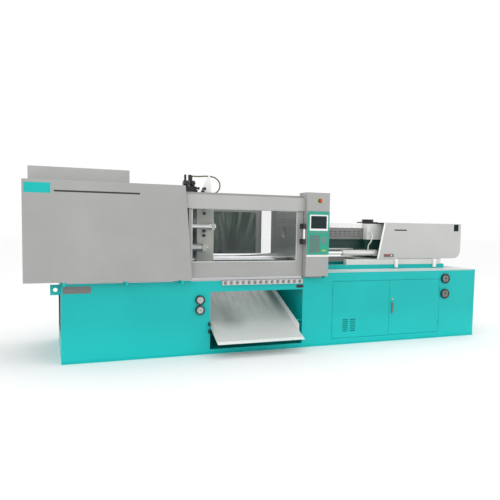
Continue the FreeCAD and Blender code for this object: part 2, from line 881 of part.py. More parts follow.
def clamp_guard_rear():
    end_y = (-guard_y + guard_return + seat, guard_y - 1)
    end = box((guard_left_x, guard_left_x + guard_sheet), end_y, guard_z)
    return fuse(mirrored(guard_pan()), end)


def clamp_guard_roof():
    inner = guard_y - guard_return - seat
    left = guard_left_x + guard_sheet + seat
    right = guard_right_high_x - roof_right_inset
    sheet = box((left, right), (-inner, inner), (guard_z[1] - guard_sheet, guard_z[1]))
    hood = box(hood_x, (-hood_y, hood_y), (guard_z[1] - guard_sheet, hood_top))
    hollow = box((hood_x[0] + guard_sheet, hood_x[1] - guard_sheet),
                 (-hood_y + guard_sheet, hood_y - guard_sheet),
                 (guard_z[1] - guard_sheet - 1, hood_top - guard_sheet))
    return sheet.fuse(hood).cut(hollow)


def guard_frame():
    """Welded square-bar frame inside the sheets, and the brackets under them."""
    rail_left = guard_left_x + guard_sheet + seat
    under_roof = guard_z[1] - guard_sheet - seat
    bracket_low = guard_z[0] - bracket_drop
    beam_span = (beam_z, beam_z + frame_bar)
    bars, brackets = [], []
    for side in (-1, 1):
        post_y = (side * (frame_y - frame_bar), side * frame_y)
        arm_y = (side * frame_y, side * (guard_y - guard_sheet - seat))
        edge = side * (guard_y - seat)
        bars.append(box((rail_left, column_x[0] - seat), post_y, beam_span))
        for left in post_x:
            x = (left, left + frame_bar)
            bars.append(box(x, post_y, (bed_top, under_roof)))
            bars.append(box(x, arm_y, (under_roof - frame_bar, under_roof)))
            foot = box(x, (side * half_width, edge), (bracket_low, bed_top - seat))
            upright = box(x, (side * (channel_y[1] + bracket_gap), edge), (bracket_low, guard_z[0]))
            brackets.append(fuse(foot, upright))
    for left in post_x[:2]:
        bars.append(box((left, left + frame_bar), (frame_bar - frame_y, frame_y - frame_bar), beam_span))
    return [fuse(*bars)] + brackets


# ---------------------------------------------------------------- gates
def gate_header():
    right = column_x[0] - seat
    y = (-header_y, -header_y + header_depth)
    outer = box((header_left_x, right), y, (header_z, beam_z))
    inner = box((header_left_x + gate_sheet, right - gate_sheet), (-header_y + gate_sheet, 0),
                (header_z + gate_sheet, beam_z - gate_sheet - 1))
    flange = box((header_left_x, right), (-header_y, frame_bar - frame_y), (beam_z - header_flange, beam_z))
    return fuse(outer.cut(inner), flange)


def gate_rail():
    """Round guide rail on a web and flange, and the channel that guides the gate's foot."""
    x = (gate_x[0] - gate_travel - rail_spare, gate_x[1])
    centre = -gate_middle
    top = beam_z - header_flange - seat
    rod = bar("x", (centre, rail_z), rail_r, x)
    web = box(x, (centre - rail_web / 2, centre + rail_web / 2), (rail_z, top - rail_flange))
    flange = box(x, (centre - rail_flange_lip, -frame_y - seat), (top - rail_flange, top))
    span = (-channel_y[1], -channel_y[0])
    channel = box(x, span, (bed_top, bed_top + channel_z))
    groove = box((x[0] - 1, x[1] + 1), (span[0] + channel_wall, span[1] - channel_wall),
                 (bed_top + channel_wall, bed_top + channel_z + 1))
    return [fuse(rod, web, flange), channel.cut(groove)]


def gate():
    y = (-gate_y, -gate_y + gate_depth)
    centre = -gate_middle
    outer = box(gate_x, y, gate_z)
    pocket = box((gate_x[0] + gate_sheet, gate_x[1] - gate_sheet), (y[0] + gate_sheet, y[1] + 1),
                 (gate_z[0] + gate_sheet, gate_z[1] - gate_sheet))
    body = outer.cut(pocket).cut(box(window_x, (y[0] - 1, y[1]), window_z))
    for x in hanger_x:
        span = (x - hanger_width / 2, x + hanger_width / 2)
        past = (span[0] - 1, span[1] + 1)
        block = box(span, (centre - hanger_half, centre + hanger_half), (gate_z[1] - 1, rail_z + rail_r - 1))
        block = block.cut(bar("x", (centre, rail_z), rail_r + running, past))
        slot_y = (centre - hanger_slot_half, centre + hanger_slot_half)
        slot = box(past, slot_y, (rail_z, rail_z + 2 * rail_r))
        fin = box(span, (centre - fin_half, centre + fin_half), (bed_top + fin_gap, gate_z[0] + 1))
        body = body.fuse([block.cut(slot), fin])
    return body


def gate_pane():
    y = -gate_y + gate_sheet + seat
    return box((window_x[0] - pane_lap, window_x[1] + pane_lap), (y, y + pane_thick),
               (window_z[0] - pane_lap, window_z[1] + pane_lap))


def gate_handle():
    """Upright grip between two feet on the gate's closing stile."""
    grip_y = -gate_y - handle_reach
    body = bar("z", (handle_x, grip_y), handle_r, handle_z)
    for z in handle_z:
        foot = box((handle_x - handle_foot / 2, handle_x + handle_foot / 2),
                   (grip_y - handle_r - handle_foot_lip, -gate_y - seat), (z - handle_foot, z + handle_foot))
        body = body.fuse(foot)
    return body.removeSplitter()


# ---------------------------------------------------------------- control column
def control_column():
    outer = box(column_x, column_y, column_z)
    inner = box((column_x[0] + column_sheet, column_x[1] - column_sheet),
                (column_y[0] + column_sheet, column_y[1] + 1),
                (column_z[0] + column_sheet, column_z[1] - column_sheet))
    foot = box((column_x[0] + column_foot_inset, column_x[1] - column_foot_inset),
               (front + bed_wall + column_foot_gap[0], column_y[1] - column_foot_gap[1]),
               (bed_top, column_z[0]))
    at = (estop_x, estop_z)
    collar_y = (column_y[0] - estop_collar_height, column_y[0] + column_sheet)
    collar = bar("y", at, estop_r + estop_collar_wall, collar_y)
    hole_y = (collar_y[0] - 1, collar_y[1] + 1)
    return fuse(outer.cut(inner), foot, collar).cut(bar("y", at, estop_stem_r + running, hole_y))


def control_panel():
    y = (column_y[0] - seat - fascia_thick, column_y[0] - seat)
    plate = box(fascia_x, y, fascia_z)
    upright = [edge for edge in plate.Edges if abs(edge.tangentAt(edge.FirstParameter).y) > 0.9]
    plate = plate.makeFillet(fascia_corner, upright)
    return plate.cut(box(screen_x, (y[0] - 1, y[0] + screen_depth), screen_z))


def estop_button():
    at = (estop_x, estop_z)
    face = column_y[0] - estop_collar_height
    back = face - estop_travel - estop_head_gap
    head = bar("y", at, estop_r, (back - estop_head, back))
    front_edge = [edge for edge in head.Edges if abs(edge.CenterOfMass.y - (back - estop_head)) < 0.01]
    head = head.makeFillet(estop_head_round, front_edge)
    return head.fuse(bar("y", at, estop_stem_r, (back - 1, face + estop_stem)))


# ---------------------------------------------------------------- bed doors
def door_pan(x):
    outer = box(x, (front, front + door_depth), door_z)
    inner = box((x[0] + door_sheet, x[1] - door_sheet), (front + door_sheet, front + door_depth + 1),
                (door_z[0] + door_sheet, door_z[1] - door_sheet))
    return outer.cut(inner)


def with_knuckles(door, edge, side):
    pin_at = (edge - side * door_gap / 2, front - knuckle_r)
    for level in hinge_z:
        knuckle = hinge_half(edge, side, side, level + knuckle_length + seat)
        bore = bar("z", pin_at, hinge_pin_r + running, (level, level + 2 * knuckle_length + 1))
        door = door.fuse(knuckle).cut(bore)
    return door


def cabinet_door_left():
    door = door_pan(door_left_x)
    pitch = (louvre_z[1] - louvre_z[0]) / louvre_slots
    for x in louvre_columns_x:
        for row in range(louvre_slots):
            low = louvre_z[0] + row * pitch
            door = door.cut(box((x, x + louvre_width), (front - 1, front + door_sheet + 1),
                                (low, low + louvre_slot)))
    return with_knuckles(door, door_left_x[0], 1)


def cabinet_door_right():
    door = door_pan(door_right_x)
    width, thick = lock_plate
    plate = box((lock_x - width / 2, lock_x + width / 2), (front - thick, front), lock_z)
    door = door.fuse(plate)
    through = (front - thick - 1, front + door_sheet + 1)
    door = door.cut(bar("y", (lock_x, lock_pivot_z), lock_shaft_r + running, through))
    return with_knuckles(door, door_right_x[1], -1)


def door_lock():
    width, drop, thick = lock_lever
    at = (lock_x, lock_pivot_z)
    y = front - lock_plate[1] - seat
    end = front + door_depth - lock_crank_thick
    lever_z = (lock_pivot_z - drop, lock_pivot_z + width / 2)
    lever = box((lock_x - width / 2, lock_x + width / 2), (y - thick, y), lever_z)
    shaft = bar("y", at, lock_shaft_r, (y - 1, end))
    crank = bar("y", at, lock_shaft_r + lock_crank_wall, (end - lock_crank_thick, end))
    return fuse(lever, shaft, crank)


# ---------------------------------------------------------------- front fittings
def water_manifold():
    y = front - seat
    body = box(manifold_x, (y - manifold_depth, y), manifold_z)
    pitch = (manifold_x[1] - manifold_x[0]) / nipple_count
    middle = (manifold_z[0] + manifold_z[1]) / 2
    nipples = []
    for index in range(nipple_count):
        x = manifold_x[0] + (index + 0.5) * pitch
        tip = y - manifold_depth
        nipple = bar("y", (x, middle), nipple_r, (tip - nipple_length, tip))
        shoulder = bar("y", (x, middle), nipple_r + shoulder_over, (tip - shoulder_length, tip))
        bore = bar("y", (x, middle), nipple_r - nipple_wall, (tip - nipple_length - 1, tip - nipple_floor))
        nipples.append(nipple.fuse(shoulder).cut(bore))
    return [body] + nipples


def pressure_gauges():
    y = front - seat
    made = []
    for z in gauge_z:
        case = bar("y", (gauge_x, z), gauge_r, (y - gauge_depth, y))
        recess = (y - gauge_depth - 1, y - gauge_depth + gauge_recess)
        made.append(case.cut(bar("y", (gauge_x, z), gauge_r - gauge_rim, recess)))
    return made


def round_vents():
    y = front - seat
    made = []
    for z in vent_z:
        rim = ring("y", (vent_x, z), vent_r, vent_r - vent_rim, (y - vent_depth, y))
        disc = bar("y", (vent_x, z), vent_r - vent_rim + 1, (y - vent_depth + vent_recess, y))
        made.append(rim.fuse(disc))
    return made


# ---------------------------------------------------------------- chute
def tray_surface(y):
    """Height of the tray's upper face at y."""
    return tray_lip_z + (y - tray_lip_y) * math.tan(math.radians(tray_slope))


def product_chute():
    drop = tray_sheet / math.cos(math.radians(tray_slope))
    low, high = tray_lip_y, tray_back_y
    profile = [(low, tray_surface(low) - drop), (high, tray_surface(high) - drop),
               (high, tray_surface(high)), (low, tray_surface(low))]
    tray = prism("x", profile, tray_x)
    start = tray_flange_start_y
    wall = [(start, tray_surface(start) - drop), (high, tray_surface(high) - drop),
            (high, tray_surface(high) + tray_flange_back), (start, tray_surface(start) + tray_flange)]
    for x in ((tray_x[0], tray_x[0] + tray_sheet), (tray_x[1] - tray_sheet, tray_x[1])):
        tray = tray.fuse(prism("x", wall, x))
    return tray.removeSplitter()


# ---------------------------------------------------------------- bed contents
def oil_tank():
    outer = box(tank_x, (-tank_y, tank_y), (sole_thick + seat, tank_z))
    inner = box((tank_x[0] + tank_wall, tank_x[1] - tank_wall), (-tank_y + tank_wall, tank_y - tank_wall),
                (sole_thick + seat + tank_wall, tank_z - tank_wall))
    filler = bar("z", ((tank_x[0] + tank_x[1]) / 2, 0), filler_r, (tank_z - filler_depth, tank_z + 1))
    return outer.cut(inner).cut(filler)


def motor_pump_set():
    at = (motor_y, motor_z)
    motor = bar("x", at, motor_r, motor_x)
    feet = box((motor_x[0] + motor_foot_inset, motor_x[1] - motor_foot_inset),
               (motor_y - motor_foot_half, motor_y + motor_foot_half),
               (sole_thick, motor_z - motor_foot_inset))
    junction = box([motor_x[0] + x for x in junction_x], (motor_y - junction_half, motor_y + junction_half),
                   [motor_z + z for z in junction_rise])
    pump = bar("x", at, pump_r, pump_x)
    bracket = box((pump_x[0], pump_x[0] + pump_bracket_thick),
                  (motor_y - pump_bracket_half, motor_y + pump_bracket_half),
                  (sole_thick, motor_z + pump_bracket_half))
    bore = bar("x", at, drive_shaft_r + running, (motor_x[1] - shaft_entry - 1, pump_x[0] + shaft_entry + 1))
    return [fuse(motor, feet, junction).cut(bore), fuse(pump, bracket).cut(bore)]


def pump_coupling():
    at = (motor_y, motor_z)
    shaft = bar("x", at, drive_shaft_r, (motor_x[1] - shaft_entry, pump_x[0] + shaft_entry))
    hub = bar("x", at, coupling_r, (motor_x[1] + coupling_gap, pump_x[0] - coupling_gap))
    key = box((motor_x[1] + key_inset, pump_x[0] - key_inset), (motor_y - key_half, motor_y + key_half),
              (motor_z, motor_z + coupling_r + key_rise))
    return fuse(shaft, hub, key)


def electrical_panel():
    """Mounting plate on two legs, with rows of contactors and relays on rails."""
    back = panel_y + panel_plate
    body = box(panel_x, (panel_y, back), panel_z)
    for x in (panel_x[0], panel_x[1] - panel_leg):
        body = body.fuse(box((x, x + panel_leg), (back, back + panel_leg), (sole_thick, panel_z[1])))
    rail_depth, rail_height = panel_rail
    rail_x = (panel_x[0] + panel_rail_inset, panel_x[1] - panel_rail_inset)
    unit_y = (panel_y - rail_depth - unit_depth, panel_y - rail_depth + 1)
    for row in range(panel_rails):
        z = panel_z[0] + panel_rail_first + row * panel_rail_pitch
        body = body.fuse(box(rail_x, (panel_y - rail_depth, panel_y), (z, z + rail_height)))
        for unit in range(units):
            x = panel_x[0] + unit_first + unit * unit_pitch
            body = body.fuse(box((x, x + unit_width), unit_y, (z + unit_z[0], z + unit_z[1])))
    return body.removeSplitter()


# ---------------------------------------------------------------- injection unit
def carriage_base():
    base = box((pedestal_x[0], base_x[1]), (-rail_beam_y[0] - 1, rail_beam_y[0] + 1),
               (base_top - base_plate, base_top))
    for side in (-1, 1):
        beam = box(base_x, tuple(side * y for y in rail_beam_y), (rail_beam_z + seat, base_top))
        base = base.fuse(beam)
        block_y = (side * rail_beam_y[0], side * (cover_y - cover_sheet - seat))
        for x in cover_block_x:
            base = base.fuse(box((x - cover_block_half, x + cover_block_half), block_y,
                                 (base_top, base_top + cover_block_height)))
    pedestal = box(pedestal_x, (-pedestal_y, pedestal_y), (base_top, housing_z[0]))
    spine_top = housing_z[0] - spine_drop
    spine = box((spine_x, pedestal_x[0] + 1), (-spine_y, spine_y), (spine_z, spine_top))
    cap_y = barrel_cover_y + spine_cap_lip
    cap = box((spine_x, pedestal_x[0] - seat), (-cap_y, cap_y), (spine_top, spine_top + spine_cap))
    rest = box((spine_x, spine_x + spine_rest), (-spine_y, spine_y), (housing_z[0], axis_z - barrel_r - seat))
    return fuse(base, pedestal, spine, cap, rest)


def barrel_housing():
    body = box(pedestal_x, (-housing_y, housing_y), (housing_z[0] + seat, housing_z[1]))
    seat_end = pedestal_x[0] + barrel_seat
    body = body.cut(bar("x", (0, axis_z), barrel_r + seat, (pedestal_x[0] - 1, seat_end)))
    body = body.cut(bar("x", (0, axis_z), screw_r + screw_gap, (pedestal_x[0], pedestal_x[1] + 1)))
    return body.cut(bar("z", (throat_x, 0), feed_r, (axis_z, housing_z[1] + 1)))


def barrel():
    at = (0, axis_z)
    neck_x = barrel_front_x - neck_length
    tube = bar("x", at, barrel_r, (barrel_front_x, pedestal_x[0] + barrel_seat - seat))
    along = Vector(1, 0, 0)
    neck = Part.makeCone(nozzle_r, barrel_r - barrel_shoulder, neck_length, Vector(neck_x, *at), along)
    nozzle = bar("x", at, nozzle_r, (nozzle_tip_x + nozzle_tip_length, neck_x + 1))
    tip = Part.makeCone(nozzle_tip_r, nozzle_r, nozzle_tip_length, Vector(nozzle_tip_x, *at), along)
    bore = bar("x", at, screw_r + running, (barrel_front_x + barrel_end, pedestal_x[0] + barrel_seat))
    outlet = bar("x", at, nozzle_bore_r, (nozzle_tip_x - 1, barrel_front_x + barrel_end + 1))
    return fuse(tube, neck, nozzle, tip).cut([bore, outlet])


def heater_bands():
    made = []
    for index in range(band_count):
        x = band_start_x + index * band_pitch
        band = bar("x", (0, axis_z), band_r, (x, x + band_width))
        terminal = box([x + at for at in terminal_x], (-terminal_half, terminal_half),
                       (axis_z + band_r - terminal_root, axis_z + band_r + terminal_rise))
        hole = bar("x", (0, axis_z), barrel_r + seat, (x - 1, x + band_width + 1))
        made.append(band.fuse(terminal).cut(hole))
    return made


def barrel_cover():
    """Folded channel with rows of louvres over the heater bands."""
    low = housing_z[0] + spine_cap + seat - spine_drop
    side_y = barrel_cover_y - barrel_cover_sheet
    outer = box(barrel_cover_x, (-barrel_cover_y, barrel_cover_y), (low, barrel_cover_top))
    inner = box((barrel_cover_x[0] - 1, barrel_cover_x[1] + 1), (-side_y, side_y),
                (low - 1, barrel_cover_top - barrel_cover_sheet))
    width, height = cover_louvre
    cuts = []
    for row in range(cover_louvre_rows):
        z = low + cover_louvre_first + row * cover_louvre_rise
        for index in range(cover_louvres):
            x = barrel_cover_x[0] + cover_louvre_start + index * cover_louvre_pitch
            cuts.append(box((x, x + width), (-barrel_cover_y - 1, barrel_cover_y + 1), (z, z + height)))
    return outer.cut(inner).cut(cuts)


def injection_cylinders():
    made = []
    for side in (-1, 1):
        at = (side * inject_y, axis_z)
        tube = bar("x", at, inject_r, (pedestal_x[1], inject_x))
        gland_x = inject_x - inject_gland
        bore = bar("x", at, inject_bore_r, (pedestal_x[1] + inject_cap, gland_x))
        made.append(tube.cut([bore, bar("x", at, inject_rod_r + running, (gland_x - 1, inject_x + 1))]))
    return made


def carriage_cylinders():
    made = []
    for side in (-1, 1):
        at = (side * advance_y, advance_z)
        tube = bar("x", at, advance_r, advance_x)
        block = box((advance_x[1] - 1, advance_x[1] + advance_block),
                    (side * (pedestal_y + seat), side * (advance_y + advance_r)),
                    (advance_z - advance_r, advance_z + advance_r))
        gland_end = advance_x[0] + advance_gland
        bore = bar("x", at, advance_bore_r, (gland_end, advance_x[1] - advance_cap))
        gland = bar("x", at, advance_rod_r + running, (advance_x[0] - 1, gland_end + 1))
        made.append(tube.fuse(block).cut([bore, gland]))
    return made


def carriage_cylinder_rods():
    made = []
    for side in (-1, 1):
        at = (side * advance_y, advance_z)
        rod = bar("x", at, advance_rod_r, (fixed_back_x, advance_rod_end))
        piston = bar("x", at, advance_bore_r - running, (advance_rod_end - advance_piston, advance_rod_end))
        flange_x = (fixed_back_x, fixed_back_x + advance_flange)
        flange = bar("x", at, advance_rod_r + advance_flange_wall, flange_x)
        made.append(fuse(rod, piston, flange))
    return made


def cover_outline(inset, left, bottom):
    """Side view of the injection cover, with its rounded lower right corner."""
    right, top = cover_x[1] - inset, cover_z[1] - inset
    centre = (cover_x[1] - cover_corner, cover_z[0] + cover_corner)
    radius = cover_corner - inset
    arc = [(centre[0] + radius * math.sin(math.radians(a)), centre[1] - radius * math.cos(math.radians(a)))
           for a in range(0, 91, 10)]
    return [left[0], (centre[0], bottom)] + arc + [(right, top), left[1]]


def injection_cover():
    outer_left = ((cover_x[0], cover_z[0]), (cover_top_left_x, cover_z[1]))
    outer = prism("y", cover_outline(0, outer_left, cover_z[0]), (-cover_y, cover_y))
    inner_x, inner_y, below = cover_x[0] - 200, cover_y - cover_sheet, cover_z[0] - 50
    inner_left = ((inner_x, below), (inner_x, cover_z[1] - cover_sheet))
    inner = prism("y", cover_outline(cover_sheet, inner_left, below), (-inner_y, inner_y))
    notch_half = hopper_square / 2 + cover_notch_gap
    notch = box((cover_top_left_x - 1, throat_x + notch_half), (-notch_half, notch_half),
                (housing_z[1] - cover_notch_gap, cover_z[1] + 1))
    slots = [box(cover_slot_x, (side * (inner_y - 1), side * (cover_y + 1)), cover_slot_z)
             for side in (-1, 1)]
    return outer.cut(inner).cut([notch] + slots)


def hopper_flange():
    half = hopper_square / 2
    low = housing_z[1] + seat
    plate = box((throat_x - half, throat_x + half), (-half, half), (low, low + hopper_plate))
    body = fuse(plate, bar("z", (throat_x, 0), hopper_collar_r, (low, hopper_top)))
    body = body.cut(bar("z", (throat_x, 0), throat_r, (low - 1, hopper_top + 1)))
    for sx in (-1, 1):
        for sy in (-1, 1):
            at = (throat_x + sx * hopper_bolt_pitch / 2, sy * hopper_bolt_pitch / 2)
            body = body.cut(bar("z", at, hopper_bolt_r, (low - 1, low + hopper_plate + 1)))
    return body


def drive_block():
    body = box(drive_x, (-drive_y, drive_y), drive_z)
    foot_y = drive_y - drive_foot_inset
    foot = box(drive_x, (-foot_y, foot_y), (base_top + seat, drive_z[0] + 1))
    body = fuse(body, foot)
    body = body.cut(bar("x", (0, axis_z), screw_r + running, (drive_x[0] - 1, drive_x[1] + 1)))
    for side in (-1, 1):
        rod_x = (pedestal_x[1] + inject_rod_start, drive_x[0] + 1)
        rod = bar("x", (side * inject_y, axis_z), inject_rod_r, rod_x)
        body = body.fuse(rod)
    return body


def screw_motor():
    at = (0, axis_z)
    body = bar("x", at, screw_motor_r, (drive_x[1], screw_motor_x))
    flange_x = (drive_x[1], drive_x[1] + screw_motor_flange_thick)
    flange = bar("x", at, screw_motor_r + screw_motor_flange, flange_x)
    port = box([screw_motor_x - x for x in port_x], (-port_half, port_half),
               (axis_z + port_root, axis_z + screw_motor_r + port_rise))
    hole = bar("x", at, screw_r + running, (drive_x[1] - 1, drive_x[1] + screw_in_motor + 1))
    return fuse(body, flange, port).cut(hole)


def screw():
    start = barrel_front_x + screw_back_off
    shank = bar("x", (0, axis_z), screw_r, (start, drive_x[1] + screw_in_motor))
    tip_at = Vector(start - screw_tip, 0, axis_z)
    tip = Part.makeCone(screw_tip_r, screw_r, screw_tip, tip_at, Vector(1, 0, 0))
    return shank.fuse(tip)


# ---------------------------------------------------------------- write the nodes
save("bed_sole", bed_sole())
save("bed_front_wall", bed_front_wall())
save("bed_rear_and_ends", bed_rear_wall(), *bed_ends())
save("bed_bulkheads", *bed_bulkheads())
save("clamp_deck", *clamp_deck())
save("injection_deck", injection_deck())
save("carriage_rails", *carriage_rails())

save("stationary_platen", stationary_platen())
save("cylinder_platen", cylinder_platen())
save("tie_bars", *tie_bars())
save("tie_bar_nuts", *tie_bar_nuts())
save("clamp_cylinder", clamp_cylinder())
save("traverse_cylinders", *traverse_cylinders())
save("moving_platen", moving_platen())
save("clamp_ram", clamp_ram())
save("traverse_rods", *traverse_rods())
save("safety_bar", safety_bar())
save("ejector_cylinders", *ejector_cylinders())
save("ejector_rods", *ejector_rods())
save("valve_block", valve_block())
save("platen_hose", hose(platen_hose_route, platen_hose_r))

save("clamp_guard_front", guard_pan())
save("clamp_guard_rear", clamp_guard_rear())
save("clamp_guard_roof", clamp_guard_roof())
save("guard_frame", *guard_frame())
save("gate_headers", gate_header(), mirrored(gate_header()))
save("gate_rails", *gate_rail(), *[mirrored(piece) for piece in gate_rail()])
save("front_gate", gate())
save("front_gate_pane", gate_pane())
save("front_gate_handle", gate_handle())
save("rear_gate", mirrored(gate()))
save("rear_gate_pane", mirrored(gate_pane()))

save("control_column", control_column())
save("control_panel", control_panel())
save("estop_button", estop_button())
save("cabinet_door_left", cabinet_door_left())
save("cabinet_door_right", cabinet_door_right())
save("door_lock", door_lock())
save("water_manifold", *water_manifold())
save("pressure_gauges", *pressure_gauges())
save("round_vents", *round_vents())
save("product_chute", product_chute())

save("oil_tank", oil_tank())
save("motor_pump_set", *motor_pump_set())
save("pump_coupling", pump_coupling())
save("electrical_panel", electrical_panel())

save("carriage_base", carriage_base())
save("barrel_housing", barrel_housing())
save("barrel", barrel())
save("heater_bands", *heater_bands())
save("barrel_cover", barrel_cover())
save("injection_cylinders", *injection_cylinders())
save("carriage_cylinders", *carriage_cylinders())
save("carriage_cylinder_rods", *carriage_cylinder_rods())
save("carriage_hose", hose(carriage_hose_route, carriage_hose_r))
save("injection_cover", injection_cover())
save("hopper_flange", hopper_flange())
save("drive_block", drive_block())
save("screw_motor", screw_motor())
save("screw", screw())
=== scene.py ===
import bpy
import bmesh
import math
from mathutils import Matrix, Vector


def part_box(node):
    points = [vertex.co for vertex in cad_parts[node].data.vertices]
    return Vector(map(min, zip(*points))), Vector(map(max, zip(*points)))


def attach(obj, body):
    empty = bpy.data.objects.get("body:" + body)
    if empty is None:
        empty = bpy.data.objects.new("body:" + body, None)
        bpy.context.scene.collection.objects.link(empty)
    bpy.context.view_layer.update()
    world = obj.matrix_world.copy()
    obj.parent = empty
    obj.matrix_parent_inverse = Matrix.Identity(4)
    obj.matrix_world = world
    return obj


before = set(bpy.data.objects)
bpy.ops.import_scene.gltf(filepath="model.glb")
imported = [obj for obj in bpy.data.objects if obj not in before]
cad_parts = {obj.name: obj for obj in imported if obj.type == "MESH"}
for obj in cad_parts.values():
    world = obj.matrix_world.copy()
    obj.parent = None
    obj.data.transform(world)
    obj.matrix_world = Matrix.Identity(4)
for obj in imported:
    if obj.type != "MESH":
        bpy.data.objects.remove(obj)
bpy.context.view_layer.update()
print("frame loaded")


# shader maths: a Wire is a node's output, and + - * / on it adds Math nodes
class Wire:
    def __init__(self, paint, socket):
        self.paint = paint
        self.socket = socket

    def maths(self, operation, a, b=0.0, clamp=False):
        return self.paint.add("Math", {"operation": operation, "use_clamp": clamp}, {0: a, 1: b})

    def __add__(self, other):
        return self.maths("ADD", self, other)

    def __sub__(self, other):
        return self.maths("SUBTRACT", self, other)

    def __rsub__(self, other):
        return self.maths("SUBTRACT", other, self)

    def __mul__(self, other):
        return self.maths("MULTIPLY", self, other)

    def __truediv__(self, other):
        return self.maths("DIVIDE", self, other)

    def __gt__(self, other):
        return self.maths("GREATER_THAN", self, other)

    def __lt__(self, other):
        return self.maths("LESS_THAN", self, other)

    def __abs__(self):
        return self.maths("ABSOLUTE", self)

    __radd__ = __add__
    __rmul__ = __mul__

    def clamped(self):
        return self.maths("ADD", self, 0.0, clamp=True)


class Paint:
    def __init__(self, name):
        self.material = bpy.data.materials.new(name)
        self.material.use_nodes = True
        self.tree = self.material.node_tree
        self.tree.nodes.clear()
        self.place = self.add("TexCoord", out="Object")

    # any node: its type, its settings, then what goes into its sockets
    def add(self, kind, settings=None, sockets=None, out=0):
        node = self.tree.nodes.new("ShaderNode" + kind)
        for key, value in (settings or {}).items():
            if key == "stops":
                ramp = node.color_ramp
                while len(ramp.elements) < len(value):
                    ramp.elements.new(1.0)
                for element, (at, colour) in zip(ramp.elements, value):
                    element.position, element.color = at, colour
            else:
                setattr(node, key, value)
        for key, value in (sockets or {}).items():
            if isinstance(value, Wire):
                self.tree.links.new(value.socket, node.inputs[key])
            else:
                node.inputs[key].default_value = value
        return Wire(self, node.outputs[out]) if node.outputs else None

    def noise(self, scale, detail=3.0, stretch=(1, 1, 1), rough=0.5):
        where = self.add("Mapping", {}, {"Vector": self.place, "Scale": stretch})
        return self.add("TexNoise", {}, {"Vector": where, "Scale": scale, "Detail": detail,
                                         "Roughness": rough})

    def ramp(self, wire, stops):
        return self.add("ValToRGB", {"stops": [(at, (v, v, v, 1)) for at, v in stops]}, {"Fac": wire})

    def mix(self, factor, a, b, blend="MIX"):
        return self.add("Mix", {"data_type": "RGBA", "blend_type": blend}, {0: factor, 6: a, 7: b}, out=2)

    def bump(self, height, strength=0.3, distance=0.001):
        return self.add("Bump", {}, {"Height": height, "Strength": strength, "Distance": distance})

    def axisPart(self, wire, axis):
        return self.add("SeparateXYZ", {}, {0: wire}, out=axis)

    def surface(self, **sockets):
        names = {"colour": "Base Color", "rough": "Roughness", "metal": "Metallic", "normal": "Normal",
                 "coat": "Coat Weight", "coatRough": "Coat Roughness", "alpha": "Alpha", "ior": "IOR",
                 "glow": "Emission Color", "glowPower": "Emission Strength", "specular": "Specular IOR Level",
                 "aniso": "Anisotropic"}
        bsdf = self.add("BsdfPrincipled", {}, {names[key]: value for key, value in sockets.items()},
                        out="BSDF")
        self.add("OutputMaterial", {}, {"Surface": bsdf})
        return self.material


def shade(colour, by):
    return tuple(min(1.0, c * by) for c in colour[:3]) + (1.0,)


# stoved enamel on folded sheet: faint cloudiness, orange peel, runs of soft smudge; optionally painted light
# near the floor, a second colour above a height, and a painted shade over one region
def enamel(name, colour, rough=0.34, cloud=0.05, peel=0.12, coat=0.1, specular=0.35, foot=0.0, above=None,
           paintedShade=None):
    p = Paint(name)
    height = p.axisPart(p.place, 2)
    clouds = p.ramp(p.noise(1.6, 4), [(0.3, 0.0), (0.7, 1.0)])
    tint = p.mix(clouds, shade(colour, 1 - cloud), shade(colour, 1 + cloud))
    smudge = p.ramp(p.noise(7.0, 6, stretch=(1, 1, 0.35), rough=0.65), [(0.52, 0.0), (0.78, 1.0)])
    tint = p.mix(smudge * 0.08, tint, shade(colour, 0.75))
    # painted light: when foot is set, the lowest half metre is painted lighter, standing in for light thrown
    # up by the pale floor
    if foot:
        low = (1.0 - height / 0.5).clamped()
        tint = p.mix(low, tint, shade(colour, 1 + foot))
    if above:
        level, other = above
        tint = p.mix(height > level, tint, (*other, 1))
    # painted shade: above one height and short of one X the colour turns to a given dark shade colour
    if paintedShade:
        level, edge, other = paintedShade
        tint = p.mix((height > level) * (edge > p.axisPart(p.place, 0)), tint, (*other, 1))
    fine = p.noise(420.0, 2)
    return p.surface(colour=tint, rough=smudge * 0.12 + rough, coat=coat, coatRough=0.18, specular=specular,
                     normal=p.bump(fine, peel, 0.0006))


# a casting whose big faces are machined and whose edges are painted
def platenMetal(name, axisHeight):
    p = Paint(name)
    facing = abs(p.axisPart(p.add("TexCoord", out="Normal"), 0)) > 0.9
    passes = p.noise(5.0, 6, stretch=(1, 0.25, 9.0), rough=0.6)
    blotch = p.noise(2.4, 4)
    steel = p.mix(passes, (0.30, 0.30, 0.30, 1), (0.66, 0.66, 0.65, 1))
    steel = p.mix(p.ramp(blotch, [(0.4, 0.0), (0.75, 1.0)]) * 0.3, steel, (0.17, 0.175, 0.17, 1))
    cast = p.mix(p.noise(30.0, 5), (0.44, 0.445, 0.41, 1), (0.56, 0.565, 0.53, 1))
    # painted shade and painted reflection: round the screw's axis on each platen the locating bore is painted
    # near-black as the shade in its recess, and a bright disc at its centre is a painted glint of the nozzle
    # tip
    offAxis = p.add("VectorMath", {"operation": "SUBTRACT"}, {0: p.place, 1: (0.0, 0.0, axisHeight)},
                    out="Vector")
    offAxis = p.add("VectorMath", {"operation": "MULTIPLY"}, {0: offAxis, 1: (0.0, 1.0, 1.0)}, out="Vector")
    radius = p.add("VectorMath", {"operation": "LENGTH"}, {0: offAxis}, out="Value")
    steel = p.mix(radius < 0.0805, steel, (0.03, 0.03, 0.032, 1))
    steel = p.mix(radius < 0.045, steel, (0.75, 0.75, 0.74, 1))
    return p.surface(colour=p.mix(facing, cast, steel), metal=facing * 0.55,
                     rough=0.48 - facing * 0.10 + passes * 0.08,
                     normal=p.bump(p.noise(160.0, 4) + passes * 0.4, 0.18, 0.001))


